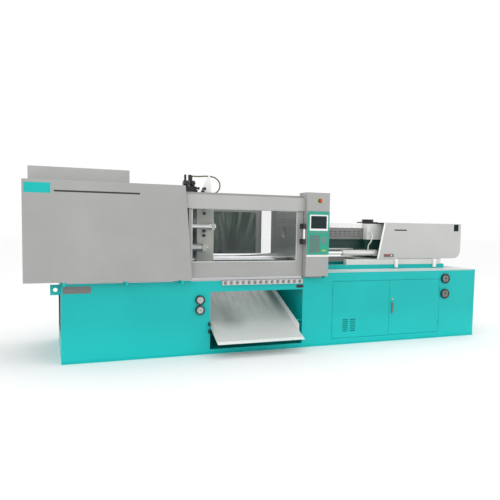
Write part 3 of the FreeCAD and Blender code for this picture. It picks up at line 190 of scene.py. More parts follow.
# steel with a grain along one axis
def grainedSteel(name, colour, stretch, rough=0.3, streak=0.22, scale=14.0, metal=0.95):
    p = Paint(name)
    grain = p.noise(scale, 7, stretch=stretch, rough=0.7)
    smear = p.ramp(p.noise(2.6, 4, stretch=tuple(s ** 0.5 for s in stretch)), [(0.35, 0.0), (0.72, 1.0)])
    tint = p.mix(grain, shade(colour, 1 - streak), shade(colour, 1 + streak))
    tint = p.mix(smear * 0.22, tint, shade(colour, 0.62))
    return p.surface(colour=tint, metal=metal, rough=grain * 0.16 + smear * 0.10 + (rough - 0.1),
                     normal=p.bump(grain, 0.10, 0.0008))


def hardChrome(name):
    p = Paint(name)
    rings = p.noise(60.0, 3, stretch=(8, 1, 1))
    film = p.ramp(p.noise(3.0, 5, stretch=(0.4, 1, 1)), [(0.4, 0.0), (0.8, 1.0)])
    return p.surface(colour=p.mix(film * 0.4, (0.86, 0.87, 0.88, 1), (0.60, 0.60, 0.58, 1)), metal=1.0,
                     rough=film * 0.14 + rings * 0.05 + 0.09, normal=p.bump(rings, 0.04, 0.0005))


def moulded(name, colour, rough=0.42, grain=900.0, deep=0.25):
    p = Paint(name)
    stipple = p.noise(grain, 2)
    wear = p.ramp(p.noise(26.0, 5), [(0.45, 0.0), (0.8, 1.0)])
    return p.surface(colour=p.mix(wear * 0.3, (*colour, 1), shade(colour, 1.5)), rough=wear * 0.14 + rough,
                     normal=p.bump(stipple, deep, 0.0004))


def braided(name, dark, light):
    p = Paint(name)
    weave = p.add("TexWave", {"bands_direction": "DIAGONAL", "wave_profile": "TRI"},
                  {"Vector": p.place, "Scale": 95.0, "Distortion": 1.5})
    mottled = p.noise(120.0, 3)
    return p.surface(colour=p.mix(weave * mottled, (*dark, 1), (*light, 1)), rough=0.62,
                     normal=p.bump(weave, 0.5, 0.001))


# polycarbonate: see-through, with a faint tint and wipe marks, and pale streaks that fan out near its top
def polycarbonate(name, tint, solid, streaks, fan=0.0, coat=0.4, specular=0.3):
    p = Paint(name)
    wipe = p.ramp(p.noise(3.2, 5, stretch=(5.0, 1, 0.5), rough=0.62), [(0.42, 0.0), (0.78, 1.0)])
    haze = p.noise(1.1, 3)
    body = p.mix(wipe, (*tint, 1), shade(tint, 2.2))
    if fan:
        bend = p.add("TexNoise", {}, {"Vector": p.place, "Scale": 0.9, "Detail": 1.0})
        height = p.axisPart(p.place, 2)
        spread = 1.0 + (height - 1.1) * 0.9
        sway = (p.axisPart(p.place, 0) + 0.78) / spread + bend * 0.22
        lines = p.add("CombineXYZ", {}, {0: sway * 17.0, 1: 0.0, 2: height * 0.5})
        bands = p.ramp(p.add("TexNoise", {}, {"Vector": lines, "Scale": 1.0, "Detail": 4.0,
                                              "Roughness": 0.6}), [(0.50, 0.0), (0.62, 1.0)])
        high = ((height - 1.38) / 0.3).clamped()
        body = p.mix(bands * high * fan, body, (0.30, 0.31, 0.24, 1))
        panels = p.ramp(p.noise(0.9, 0, stretch=(4.0, 1, 0.01)), [(0.42, 0.0), (0.47, 1.0)])
        body = p.mix(panels * (1.0 - high) * 0.5, body, (0.16, 0.16, 0.155, 1))
    return p.surface(colour=body, rough=wipe * 0.10 + 0.05,
                     alpha=(haze * 0.10 + wipe * streaks + solid).clamped(), coat=coat, coatRough=0.04,
                     specular=specular, normal=p.bump(haze, 0.05, 0.002))


# tray steel: bright and softly brushed, with a broad painted shade high on its floor where it runs into the
# shaded opening, darker painted streaks of shade there, a painted shadow beside its side flange, and a
# painted highlight on that flange and on the lip
def traySteel(name, colour, shadeAt, reach, sideBand, lipTop):
    p = Paint(name)
    grain = p.noise(26.0, 6, stretch=(8, 0.5, 0.5), rough=0.65)
    away = p.add("VectorMath", {"operation": "SUBTRACT"}, {0: p.place, 1: shadeAt}, out="Vector")
    away = p.add("VectorMath", {"operation": "DIVIDE"}, {0: away, 1: reach}, out="Vector")
    distance = p.add("VectorMath", {"operation": "LENGTH"}, {0: away}, out="Value")
    # painted shade: a broad dark cloud round one point high on the floor, inside the opening
    cloud = (1.15 - distance).clamped() * p.ramp(p.noise(3.4, 5, rough=0.6), [(0.25, 0.35), (0.65, 1.0)])
    tint = p.mix(grain, shade(colour, 0.80), shade(colour, 1.10))
    tint = p.mix(cloud * 0.75, tint, (0.20, 0.20, 0.18, 1))
    x, z = p.axisPart(p.place, 0), p.axisPart(p.place, 2)
    upper = ((z - 0.36) / 0.30).clamped()
    streaks = p.noise(5.0, 5, stretch=(3.5, 0.3, 0.3), rough=0.7)
    # painted shade: dark streaks over the upper floor only
    tint = p.mix(p.ramp(streaks, [(0.42, 0.0), (0.6, 1.0)]) * upper * 0.45, tint, (0.30, 0.30, 0.29, 1))
    shadow = ((x + sideBand[0]) / 0.09).clamped() * (1.0 - (x > -sideBand[1])) * upper
    tint = p.mix(shadow * 0.85, tint, (0.03, 0.12, 0.11, 1))
    # painted highlight: the side flange and the lip are painted near-white where they catch the light
    bright = ((x > -sideBand[1]) + (z < lipTop)).clamped()
    tint = p.mix(bright, tint, (0.93, 0.93, 0.92, 1))
    return p.surface(colour=tint, metal=0.30, rough=grain * 0.10 + 0.42, normal=p.bump(grain, 0.03, 0.0005))


# folded pan: one sheet in painted light and shade, its upward faces painted white and its sides painted dark
# grey with a fine stipple
def coverPan(name, top, side):
    p = Paint(name)
    # painted light and shade: faces pointing up get the white, the sides the dark grey
    lid = p.axisPart(p.add("NewGeometry", out="Normal"), 2) > 0.6
    stipple = p.noise(90.0, 3)
    streak = p.noise(8.0, 5, stretch=(1, 1, 3))
    tint = p.mix(streak, shade(side, 0.82), shade(side, 1.16))
    return p.surface(colour=p.mix(lid, tint, (*top, 1)), rough=streak * 0.1 + 0.44,
                     normal=p.bump(stipple, 0.1, 0.0005))


def glowing(name, colour, power):
    p = Paint(name)
    mesh = p.noise(700.0, 1)
    sheen = p.noise(2.0, 2)
    tint = p.mix(sheen * 0.4 + mesh * 0.1, (*colour, 1), shade(colour, 1.7))
    return p.surface(colour=tint, rough=0.14, coat=0.05, coatRough=0.05, specular=0.15, glow=tint,
                     glowPower=power)


teal, grey = (0.004, 0.440, 0.425), (0.345, 0.347, 0.337)
finish = {
    # teal: painted light, lighter towards the floor
    "teal": enamel("tealEnamel", teal, rough=0.32, foot=0.22, coat=0.05, specular=0.25),
    "grey": enamel("greyEnamel", grey, rough=0.42),
    "hoodGrey": enamel("hoodEnamel", (0.415, 0.420, 0.410), rough=0.42),
    "coverGrey": enamel("coverEnamel", (0.500, 0.502, 0.492), rough=0.42, cloud=0.03),
    "frameMix": enamel("frameEnamel", teal, rough=0.36, above=(0.99, grey)),
    "pale": enamel("paleEnamel", (0.70, 0.71, 0.69), rough=0.42, cloud=0.04),
    "white": enamel("whiteEnamel", (0.86, 0.87, 0.86), rough=0.42, cloud=0.02),
    "deck": enamel("deckEnamel", (0.70, 0.74, 0.73), rough=0.36, cloud=0.06),
    # base: painted shade, the teal spine under the injection cover painted in its shade's dark teal
    "base": enamel("baseEnamel", (0.62, 0.63, 0.60), rough=0.42, paintedShade=(1.2, 1.72, (0.012, 0.055, 0.045))),
    "darkTeal": enamel("darkTealEnamel", (0.002, 0.022, 0.016), rough=0.5, specular=0.1, coat=0.0),
    "motor": enamel("motorEnamel", (0.05, 0.12, 0.22), rough=0.45, peel=0.3),
    "plate": enamel("platePaint", (0.16, 0.165, 0.16), rough=0.40),
    "platen": platenMetal("machinedCasting", sum(corner.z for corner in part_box("screw")) / 2),
    "chrome": hardChrome("hardChrome"),
    "machined": grainedSteel("machinedSteel", (0.52, 0.52, 0.53), (1, 6, 6)),
    "silver": grainedSteel("silveredSteel", (0.66, 0.66, 0.64), (1, 6, 6), rough=0.40, metal=0.5, streak=0.1),
    "black": grainedSteel("blackedSteel", (0.035, 0.036, 0.04), (3, 3, 3), rough=0.42, metal=0.6),
    # tray: painted shade high on the floor, painted shadow and painted highlight at the side flange and lip
    "stainless": traySteel("trayStainless", (0.74, 0.745, 0.725), (-0.95, -0.60, 0.47), (0.26, 0.9, 0.16),
                           (0.230, 0.0645), 0.214),
    "aluminium": grainedSteel("anodisedStrip", (0.56, 0.565, 0.55), (0.5, 4, 12), rough=0.42, metal=0.3,
                              streak=0.08),
    # pan: upward faces painted white, sides painted dark grey, as lit top and shaded sides
    "pan": coverPan("panEnamel", (0.86, 0.87, 0.86), (0.20, 0.20, 0.195)),
    "plastic": moulded("blackPlastic", (0.018, 0.018, 0.02)),
    "palePlastic": moulded("palePlastic", (0.74, 0.75, 0.72), rough=0.36),
    "dial": moulded("dialFace", (0.42, 0.43, 0.41), rough=0.36, deep=0.08),
    "greyPlastic": moulded("greyPlastic", (0.13, 0.135, 0.135), rough=0.46),
    "fascia": moulded("tealMembrane", (0.012, 0.30, 0.215), rough=0.40, deep=0.12),
    "red": moulded("redPlastic", (0.58, 0.020, 0.012), rough=0.30, deep=0.1),
    "sleeveRed": moulded("oxideSleeve", (0.15, 0.035, 0.035), rough=0.42),
    "sleeveGrey": moulded("greySleeve", (0.10, 0.105, 0.105), rough=0.42),
    "lime": moulded("limeKeys", (0.30, 0.46, 0.07), rough=0.46),
    "yellow": moulded("yellowMark", (0.60, 0.52, 0.05), rough=0.46),
    "hose": braided("braidedHose", (0.05, 0.06, 0.02), (0.30, 0.33, 0.12)),
    "paleHose": braided("paleHose", (0.60, 0.66, 0.60), (0.84, 0.86, 0.80)),
    "clear": polycarbonate("clearPolycarbonate", (0.06, 0.07, 0.066), 0.01, 0.03, coat=0.0, specular=0.15),
    "smoked": polycarbonate("smokedPolycarbonate", (0.055, 0.085, 0.075), 0.86, 0.10, fan=0.9),
    "lens": polycarbonate("dialGlass", (0.6, 0.6, 0.6), 0.03, 0.05),
    "screen": glowing("screenGlass", (0.010, 0.018, 0.021), 0.1),
    "readout": glowing("readoutGlass", (0.13, 0.165, 0.155), 0.2),
}
print("finishes made:", len(finish))

# finishes of the CAD nodes
nodeFinish = {
    "teal": ["bed_sole", "bed_front_wall", "bed_rear_and_ends", "bed_bulkheads", "carriage_rails",
             "clamp_deck", "cabinet_door_left", "cabinet_door_right", "oil_tank"],
    "frameMix": ["guard_frame"],
    "grey": ["clamp_guard_front", "clamp_guard_rear", "front_gate", "rear_gate", "control_column"],
    "hoodGrey": ["clamp_guard_roof", "gate_headers"],
    "coverGrey": ["injection_cover"],
    "base": ["carriage_base"],
    "pale": ["barrel_housing", "electrical_panel"],
    "deck": ["injection_deck"],
    "pan": ["barrel_cover"],
    "plate": ["door_lock"],
    "motor": ["motor_pump_set"],
    "platen": ["stationary_platen", "cylinder_platen", "moving_platen", "clamp_cylinder"],
    "chrome": ["tie_bars", "clamp_ram", "traverse_rods", "safety_bar", "ejector_rods",
               "carriage_cylinder_rods", "screw"],
    "machined": ["tie_bar_nuts", "gate_rails", "drive_block", "pump_coupling", "barrel",
                 "traverse_cylinders"],
    "silver": ["carriage_cylinders"],
    "black": ["ejector_cylinders", "valve_block", "injection_cylinders", "heater_bands", "screw_motor",
              "hopper_flange"],
    "stainless": ["product_chute"],
    "aluminium": ["water_manifold"],
    "plastic": ["front_gate_handle", "round_vents", "pressure_gauges"],
    "fascia": ["control_panel"],
    "red": ["estop_button"],
    "hose": ["platen_hose"],
    "paleHose": ["carriage_hose"],
    "clear": ["front_gate_pane"],
    "smoked": ["rear_gate_pane"],
}
for key, nodes in nodeFinish.items():
    for node in nodes:
        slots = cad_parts[node].data.materials
        slots.clear()
        slots.append(finish[key])
print("frame finished")


# mesh helpers, all in metres
def piece(name, mesh, body, key, smooth=False):
    data = bpy.data.meshes.new(name)
    bmesh.ops.recalc_face_normals(mesh, faces=mesh.faces)
    mesh.to_mesh(data)
    mesh.free()
    made = bpy.data.objects.new(name, data)
    bpy.context.scene.collection.objects.link(made)
    data.materials.append(finish[key])
    if smooth:
        for face in data.polygons:
            face.use_smooth = True
    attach(made, body)
    return made


def addBlock(mesh, low, high, bevel=0.001, segments=2):
    size = Vector(high) - Vector(low)
    centre = (Vector(high) + Vector(low)) / 2
    made = bmesh.ops.create_cube(mesh, size=1.0,
                                 matrix=Matrix.Translation(centre) @ Matrix.Diagonal((*size, 1)))
    edges = list(dict.fromkeys(edge for vert in made["verts"] for edge in vert.link_edges))
    bmesh.ops.bevel(mesh, geom=edges, offset=min(bevel, min(size) * 0.45), segments=segments, affect="EDGES",
                    profile=0.5)


turnTo = {"x": Matrix.Rotation(math.radians(90), 4, "Y"), "y": Matrix.Rotation(math.radians(90), 4, "X"),
          "z": Matrix.Identity(4)}


# a turned piece: profile of (radius, height); heights run towards +X, -Y or +Z
def addTurned(mesh, centre, axis, profile, steps=32):
    place = Matrix.Translation(centre) @ turnTo[axis]
    rings = []
    for radius, height in profile:
        if radius < 1e-6:
            rings.append([mesh.verts.new(place @ Vector((0, 0, height)))])
            continue
        angles = [2 * math.pi * i / steps for i in range(steps)]
        rings.append([mesh.verts.new(place @ Vector((radius * math.cos(a), radius * math.sin(a), height)))
                      for a in angles])
    for low, high in zip(rings, rings[1:]):
        for i in range(steps):
            j = (i + 1) % steps
            corners = [low[i % len(low)], low[j % len(low)], high[j % len(high)], high[i % len(high)]]
            mesh.faces.new(list(dict.fromkeys(corners)))
    for ring in (rings[0], rings[-1]):
        if len(ring) > 2:
            mesh.faces.new(ring)


# a flat plate with rounded corners on the face towards the operator
def addPlate(mesh, x, z, front, thick, corner=0.006, hole=None):
    def outline(spanX, spanZ, radius):
        points = []
        for cx, cz, start in ((spanX[1], spanZ[1], 0), (spanX[0], spanZ[1], 90), (spanX[0], spanZ[0], 180),
                              (spanX[1], spanZ[0], 270)):
            sx, sz = (1 if cx == spanX[1] else -1), (1 if cz == spanZ[1] else -1)
            for turn in range(0, 91, 18):
                a = math.radians(start + turn)
                points.append((cx - sx * radius + radius * math.cos(a),
                               cz - sz * radius + radius * math.sin(a)))
        return points
    edge = min(0.0012, thick * 0.4)
    inner = outline((x[0] + edge, x[1] - edge), (z[0] + edge, z[1] - edge), max(corner - edge, 0.0004))
    outer = outline(x, z, corner)
    loops = [[(px, front, pz) for px, pz in inner], [(px, front + edge, pz) for px, pz in outer],
             [(px, front + thick, pz) for px, pz in outer]]
    if hole:
        mouth = outline(hole[0], hole[1], max(corner * 0.6, 0.001))
        loops = [[(px, front + thick, pz) for px, pz in mouth],
                 [(px, front + edge, pz) for px, pz in mouth]] + loops
    rings = [[mesh.verts.new(p) for p in loop] for loop in loops]
    pairs = list(zip(rings, rings[1:])) + ([(rings[-1], rings[0])] if hole else [])
    for low, high in pairs:
        for i in range(len(low)):
            j = (i + 1) % len(low)
            mesh.faces.new((low[i], low[j], high[j], high[i]))
    if not hole:
        mesh.faces.new(rings[0])
        mesh.faces.new(rings[-1])


# turns a mesh drawn towards the operator round to the rear or to the injection end
def faceTo(mesh, side):
    if side == "rear":
        for vert in mesh.verts:
            vert.co.y *= -1
    if side == "right":
        bmesh.ops.transform(mesh, matrix=Matrix.Rotation(math.radians(90), 4, "Z"), verts=mesh.verts)
    return mesh


# a button-head screw with a hexagon socket, standing on a face seen from the operator's side
def addScrew(mesh, x, face, z, radius=0.006):
    addTurned(mesh, (x, face, z), "y", [(radius, 0), (radius, radius * 0.25), (radius * 0.8, radius * 0.6),
                                        (radius * 0.45, radius * 0.72), (radius * 0.42, radius * 0.35),
                                        (0, radius * 0.35)], steps=18)


# a piece made of bright screws
def screwPiece(name, mesh, body="frame"):
    piece(name, mesh, body, "machined", smooth=True)


# a piece made of one plate
def platePiece(name, body, key, recordSlot, *sizes, side="front", hole=None):
    mesh = bmesh.new()
    addPlate(mesh, *sizes, hole=hole)
    piece(name, faceTo(mesh, side), body, key)


# a thin four-cornered sliver, such as a tick or a needle
def addSliver(mesh, corners, thick):
    front = [mesh.verts.new(c) for c in corners]
    back = [mesh.verts.new(c + Vector((0, thick, 0))) for c in corners]
    mesh.faces.new(front)
    mesh.faces.new(back[::-1])
    for i in range(4):
        mesh.faces.new((front[i], front[(i + 1) % 4], back[(i + 1) % 4], back[i]))


# directions along and across an angle on the operator's side
def headings(angle):
    c, s = math.cos(angle), math.sin(angle)
    return Vector((c, 0, s)), Vector((-s, 0, c))


def span(node, axis):
    low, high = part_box(node)
    return getattr(low, axis), getattr(high, axis)


# camera
camera = {"place": (-3.2059, -7.2390, 1.6640), "yaw": 20.929, "pitch": -4.138, "roll": 0.9305, "lens": 38.0,
          "shiftUp": 0.0286}


def makeCamera(c):
    yaw, pitch, roll = (math.radians(c[k]) for k in ("yaw", "pitch", "roll"))
    ahead = Vector((math.sin(yaw) * math.cos(pitch), math.cos(yaw) * math.cos(pitch), math.sin(pitch)))
    side = Vector((math.cos(yaw), -math.sin(yaw), 0))
    up = side.cross(ahead)
    right = side * math.cos(roll) + up * math.sin(roll)
    top = up * math.cos(roll) - side * math.sin(roll)
    turn = Matrix((right, top, -ahead)).transposed()
    data = bpy.data.cameras.new("camera")
    data.lens, data.sensor_width, data.shift_y = c["lens"], 36.0, c["shiftUp"]
    data.clip_end = 100.0
    made = bpy.data.objects.new("camera", data)
    made.matrix_world = Matrix.Translation(c["place"]) @ turn.to_4x4()
    bpy.context.scene.collection.objects.link(made)
    bpy.context.scene.camera = made


makeCamera(camera)


# studio
studio = {"floor": 60.0, "world": 1.0, "key": 170.0, "fill": 70.0, "top": 90.0}


def makeStudio(s):
    mesh = bmesh.new()
    bmesh.ops.create_grid(mesh, x_segments=8, y_segments=8, size=s["floor"])
    data = bpy.data.meshes.new("floor")
    mesh.to_mesh(data)
    mesh.free()
    floor = bpy.data.objects.new("floor", data)
    floor.location.z = -0.0005
    p = Paint("paleFloor")
    data.materials.append(p.surface(colour=p.mix(p.noise(0.6, 3), (0.96, 0.96, 0.96, 1),
                                                 (0.98, 0.98, 0.98, 1)), rough=0.8, specular=0.2))
    bpy.context.scene.collection.objects.link(floor)
    world = bpy.data.worlds.new("studio")
    world.use_nodes = True
    sky = world.node_tree.nodes["Background"].inputs
    sky[0].default_value, sky[1].default_value = (1, 1, 1, 1), s["world"]
    bpy.context.scene.world = world
    for name, place, aim, size, power in (("key", (-6.0, -9.0, 7.0), (0, 0, 1), 5.0, s["key"]),
                                          ("fill", (7.0, -8.0, 4.0), (1, 0, 1), 5.0, s["fill"]),
                                          ("top", (0.0, 0.0, 8.0), (0, 0, 0), 7.0, s["top"])):
        light = bpy.data.lights.new(name, "AREA")
        light.size, light.energy = size, power
        lamp = bpy.data.objects.new(name, light)
        lamp.location = place
        lamp.rotation_euler = (Vector(aim) - Vector(place)).to_track_quat("-Z", "Y").to_euler()
        bpy.context.scene.collection.objects.link(lamp)
    bpy.context.scene.view_settings.view_transform = "Standard"


makeStudio(studio)
print("camera and studio ready")

# places worked out from the frame
wallDepth, fasciaProud = 0.026, 0.0083
wallFront = span("bed_front_wall", "y")[1] - wallDepth      # outer face of the front wall
guardFront = span("clamp_guard_front", "y")[0]
guardX, guardZ = span("clamp_guard_front", "x"), span("clamp_guard_front", "z")
gateFront = span("front_gate", "y")[0]
paneX, paneZ = span("front_gate_pane", "x"), span("front_gate_pane", "z")
columnX, columnZ = span("control_column", "x"), span("control_column", "z")
fasciaX, fasciaZ = span("control_panel", "x"), span("control_panel", "z")
fasciaFront = span("control_panel", "y")[0]
columnFront = fasciaFront + fasciaProud
coverX, coverZ = span("injection_cover", "x"), span("injection_cover", "z")
coverFront = span("injection_cover", "y")[0]

# control panel: screen, bezel, keys
panel = {"screenX": (0.094, 0.334), "screenZ": (1.644, 1.814), "bezelX": (0.076, 0.355),
         "bezelZ": (1.615, 1.831), "keyX": (0.078, 0.240), "keyZ": (1.318, 1.556), "columns": 4, "rows": 7,
         "gap": 0.008, "readoutX": (0.272, 0.330), "readoutZ": (1.440, 1.530), "limeX": (0.268, 0.336),
         "limeZ": (1.334, 1.362), "lampZ": 1.590, "lamps": 12, "stripZ": (1.262, 1.290)}


def makePanel(s):
    x, z, inset = s["screenX"], s["screenZ"], 0.0005
    platePiece("screenBezel", "frame", "palePlastic", "pale_paint", s["bezelX"], s["bezelZ"],
               fasciaFront - 0.005, 0.005, 0.008, hole=(x, z))
    platePiece("screenGlass", "frame", "screen", "black_plastic", (x[0] + inset, x[1] - inset),
               (z[0] + inset, z[1] - inset), fasciaFront + 0.001, 0.0025, 0.003)
    mesh = bmesh.new()
    pitchX = (s["keyX"][1] - s["keyX"][0]) / s["columns"]
    pitchZ = (s["keyZ"][1] - s["keyZ"][0]) / s["rows"]
    for column in range(s["columns"]):
        for row in range(s["rows"]):
            x0, z0 = s["keyX"][0] + column * pitchX, s["keyZ"][0] + row * pitchZ
            addPlate(mesh, (x0 + s["gap"] / 2, x0 + pitchX - s["gap"] / 2),
                     (z0 + s["gap"] / 2, z0 + pitchZ - s["gap"] / 2), fasciaFront - 0.0022, 0.0022, 0.004)
    piece("panelKeys", mesh, "frame", "greyPlastic")
    platePiece("panelReadout", "frame", "readout", "black_plastic", s["readoutX"], s["readoutZ"],
               fasciaFront - 0.002, 0.002, 0.004)
    mesh = bmesh.new()
    width = (s["limeX"][1] - s["limeX"][0]) / 2
    for index in range(2):
        x0 = s["limeX"][0] + index * width
        addPlate(mesh, (x0 + 0.002, x0 + width - 0.002), s["limeZ"], fasciaFront - 0.0022, 0.0022, 0.004)
    piece("panelLimeKeys", mesh, "frame", "lime")
    mesh = bmesh.new()
    for index in range(s["lamps"]):
        x0 = s["keyX"][0] + 0.012 + index * (s["bezelX"][1] - s["keyX"][0] - 0.03) / (s["lamps"] - 1)
        addTurned(mesh, (x0, fasciaFront, s["lampZ"]), "y",
                  [(0.0035, 0), (0.0035, 0.001), (0.002, 0.0024), (0, 0.0028)], 14)
    piece("panelLamps", mesh, "frame", "red", smooth=True)
    platePiece("panelSill", "frame", "palePlastic", "pale_paint", (fasciaX[0] - 0.004, fasciaX[1]),
               s["stripZ"], columnFront - 0.005, 0.005, 0.002)
    mesh = bmesh.new()
    for x0 in (fasciaX[0] + 0.014, fasciaX[1] - 0.014):
        for z0 in (fasciaZ[0] + 0.014, fasciaZ[1] - 0.014):
            addScrew(mesh, x0, fasciaFront, z0, 0.005)
    for x0 in (columnX[0] + 0.02, columnX[1] - 0.02):
        for z0 in (columnZ[0] + 0.06, columnZ[0] + 0.24, columnZ[1] - 0.03, columnZ[1] - 0.22):
            addScrew(mesh, x0, columnFront, z0, 0.005)
    screwPiece("columnScrews", mesh)


makePanel(panel)

# emergency stop collar
stop = {"collar": 0.030, "ring": 0.0225}


def makeStop(s):
    low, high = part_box("estop_button")
    centre = ((low.x + high.x) / 2, columnFront - 0.0001, (low.z + high.z) / 2)
    mesh = bmesh.new()
    addTurned(mesh, centre, "y", [(s["collar"], 0), (s["collar"], 0.006), (s["collar"] - 0.003, 0.0085),
                                  (s["ring"], 0.0085), (s["ring"], 0), (s["collar"], 0)], 40)
    piece("stopCollar", mesh, "frame", "plastic")
    mesh = bmesh.new()
    addTurned(mesh, centre, "y", [(s["collar"] + 0.0005, 0), (s["collar"] + 0.006, 0),
                                  (s["collar"] + 0.006, 0.0015), (s["collar"] + 0.0005, 0.0015),
                                  (s["collar"] + 0.0005, 0)], 40)
    piece("stopBacking", mesh, "frame", "yellow")


makeStop(stop)
print("control column dressed")

# gauges: dial, ticks, needle, glass
gauge = {"dial": 0.043, "ticks": 25, "sweep": 270.0, "needle": 0.031, "readings": (28.0, 117.0)}


def makeGauges(s):
    low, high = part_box("pressure_gauges")
    x = (low.x + high.x) / 2
    radius = (high.x - low.x) / 2
    centres = (low.z + radius, high.z - radius)
    face = low.y + 0.0052
    dials, marks, needles, glasses = (bmesh.new() for _ in range(4))
    for z, reading in zip(centres, s["readings"]):
        addTurned(dials, (x, face, z), "y", [(s["dial"], -0.0002), (s["dial"], 0.0006), (0, 0.0006)], 48)
        for index in range(s["ticks"]):
            a = math.radians(-45 + s["sweep"] * index / (s["ticks"] - 1))
            inner = s["dial"] * (0.72 if index % 4 == 0 else 0.82)
            outer = s["dial"] * 0.92
            wide = 0.0012 if index % 4 == 0 else 0.0006
            along, across = headings(a)
            middle = Vector((x, face - 0.0009, z))
            addSliver(marks, [middle + along * inner - across * wide, middle + along * outer - across * wide,
                              middle + along * outer + across * wide,
                              middle + along * inner + across * wide], 0.0004)
        along, across = headings(math.radians(225 - reading))
        hub = Vector((x, face - 0.0018, z))
        addSliver(needles, [hub - along * 0.012 - across * 0.003, hub - along * 0.012 + across * 0.003,
                            hub + along * s["needle"] + across * 0.0005,
                            hub + along * s["needle"] - across * 0.0005], 0.0006)
        addTurned(needles, (x, face, z), "y", [(0.005, 0), (0.005, 0.002), (0.003, 0.0028), (0, 0.003)], 20)
        addTurned(glasses, (x, face, z), "y", [(s["dial"] + 0.0005, 0.0038), (s["dial"] + 0.0005, 0.0042),
                                               (s["dial"] * 0.6, 0.0048), (0, 0.005)], 48)
    piece("gaugeDials", dials, "frame", "dial")
    piece("gaugeMarks", marks, "frame", "plastic")
    piece("gaugeNeedles", needles, "frame", "plastic")
    piece("gaugeGlasses", glasses, "frame", "lens", smooth=True)


makeGauges(gauge)

# round vents: guard rings on spokes in front of a grey hub
vent = {"rings": (0.024, 0.036, 0.048), "wire": 0.0018, "spokes": 4, "spokeReach": (0.012, 0.0605),
        "hub": 0.017, "plate": 0.0585}


def makeVents(s):
    low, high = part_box("round_vents")
    x = (low.x + high.x) / 2
    radius = (high.x - low.x) / 2
    face = low.y + 0.004
    rings, hubs = bmesh.new(), bmesh.new()
    for z in (low.z + radius, high.z - radius):
        for ring in s["rings"]:
            w = s["wire"]
            addTurned(rings, (x, face, z), "y",
                      [(ring - w, -w), (ring + w, -w), (ring + w, w), (ring - w, w), (ring - w, -w)], 48)
        for spoke in range(s["spokes"]):
            a = math.radians(45 + 90 * spoke)
            along = headings(a)[0]
            start, end = (Vector((x, face, z)) + along * reach for reach in s["spokeReach"])
            mid, size = (start + end) / 2, (end - start).length
            turn = Matrix.Translation(mid) @ Matrix.Rotation(-a, 4, "Y")
            shape = Matrix.Diagonal((size, 0.003, 0.004, 1))
            made = bmesh.ops.create_cube(rings, size=1.0, matrix=turn @ shape)
            edges = list(dict.fromkeys(edge for vert in made["verts"] for edge in vert.link_edges))
            bmesh.ops.bevel(rings, geom=edges, offset=0.0008, segments=1, affect="EDGES")
        addTurned(hubs, (x, low.y + 0.0079, z), "y",
                  [(s["plate"], 0), (s["plate"], 0.0006), (s["hub"], 0.0010), (s["hub"], 0.003),
                   (s["hub"] - 0.003, 0.0045), (0, 0.005)], 40)
    piece("ventGrilles", rings, "frame", "dial")
    piece("ventHubs", hubs, "frame", "plastic")


makeVents(vent)

# coloured sleeves on the manifold's hose nipples
manifold = {"count": 14, "nipple": 0.0101, "sleeve": 0.0118, "length": 0.010, "back": 0.016,
            "washerBack": 0.026}


def makeSleeves(s):
    low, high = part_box("water_manifold")
    pitch = (high.x - low.x) / s["count"]
    groups = {"sleeveRed": bmesh.new(), "sleeveGrey": bmesh.new()}
    caps = bmesh.new()
    for index in range(s["count"]):
        x = low.x + (index + 0.5) * pitch
        z = (low.z + high.z) / 2
        mesh = groups["sleeveRed" if index % 2 else "sleeveGrey"]
        bore, r = s["nipple"], s["sleeve"]
        addTurned(mesh, (x, low.y + s["back"], z), "y",
                  [(bore, 0), (r, 0), (r, s["length"]), (bore, s["length"]), (bore, 0)], 28)
        addTurned(caps, (x, low.y + s["washerBack"], z), "y",
                  [(0.0245, 0), (0.0245, 0.002), (0.0225, 0.003), (0.0165, 0.003), (0.0165, 0), (0.0245, 0)],
                  6)
    for key, mesh in groups.items():
        piece(key + "s", mesh, "frame", key)
    piece("nippleWashers", caps, "frame", "black")


makeSleeves(manifold)
print("front fittings dressed")

# blank plates with corner screws, and plain fields of colour
plates = {
    "bedPlate": ((-3.059, -2.737), (0.836, 0.921), "plate", "dark_steel"),
    "chutePlate": ((-0.041, 0.070), (0.832, 0.873), "black", "dark_steel"),
}
plateThick = 0.0025


def makePlates(s):
    screws = bmesh.new()
    for name, (x, z, key, recordSlot) in s.items():
        platePiece(name, "frame", key, recordSlot, x, z, wallFront - plateThick, plateThick, 0.005)
        for px in (x[0] + 0.010, x[1] - 0.010):
            for pz in (z[0] + 0.010, z[1] - 0.010):
                addScrew(screws, px, wallFront - plateThick, pz, 0.0035)
    screwPiece("plateScrews", screws)


makePlates(plates)

field = {"tealX": (0.020, 0.300), "tealZ": (0.035, 0.150), "barX": (0.335, 1.300), "barZ": (0.112, 0.132),
         "thick": 0.0006}


def makeField(s):
    left, top = guardX[0], guardZ[1]
    for name, x, z, corner, key, recordSlot in (
            ("guardTealField", s["tealX"], s["tealZ"], 0.004, "teal", "teal_paint"),
            ("guardDarkBars", s["barX"], s["barZ"], 0.003, "plastic", "black_plastic")):
        platePiece(name, "frame", key, recordSlot, (left + x[0], left + x[1]), (top - z[1], top - z[0]),
                   guardFront - s["thick"], s["thick"], corner)


makeField(field)

# gate dressing: window trim with its screws, pale grip sleeve
gateTrim = {"edge": 0.016, "thick": 0.0022, "pitch": 0.16, "inset": 0.008, "screw": 0.0055, "grip": 0.014,
            "wall": 0.0012, "bodies": {"front": "gate_front", "rear": "gate_rear"}}


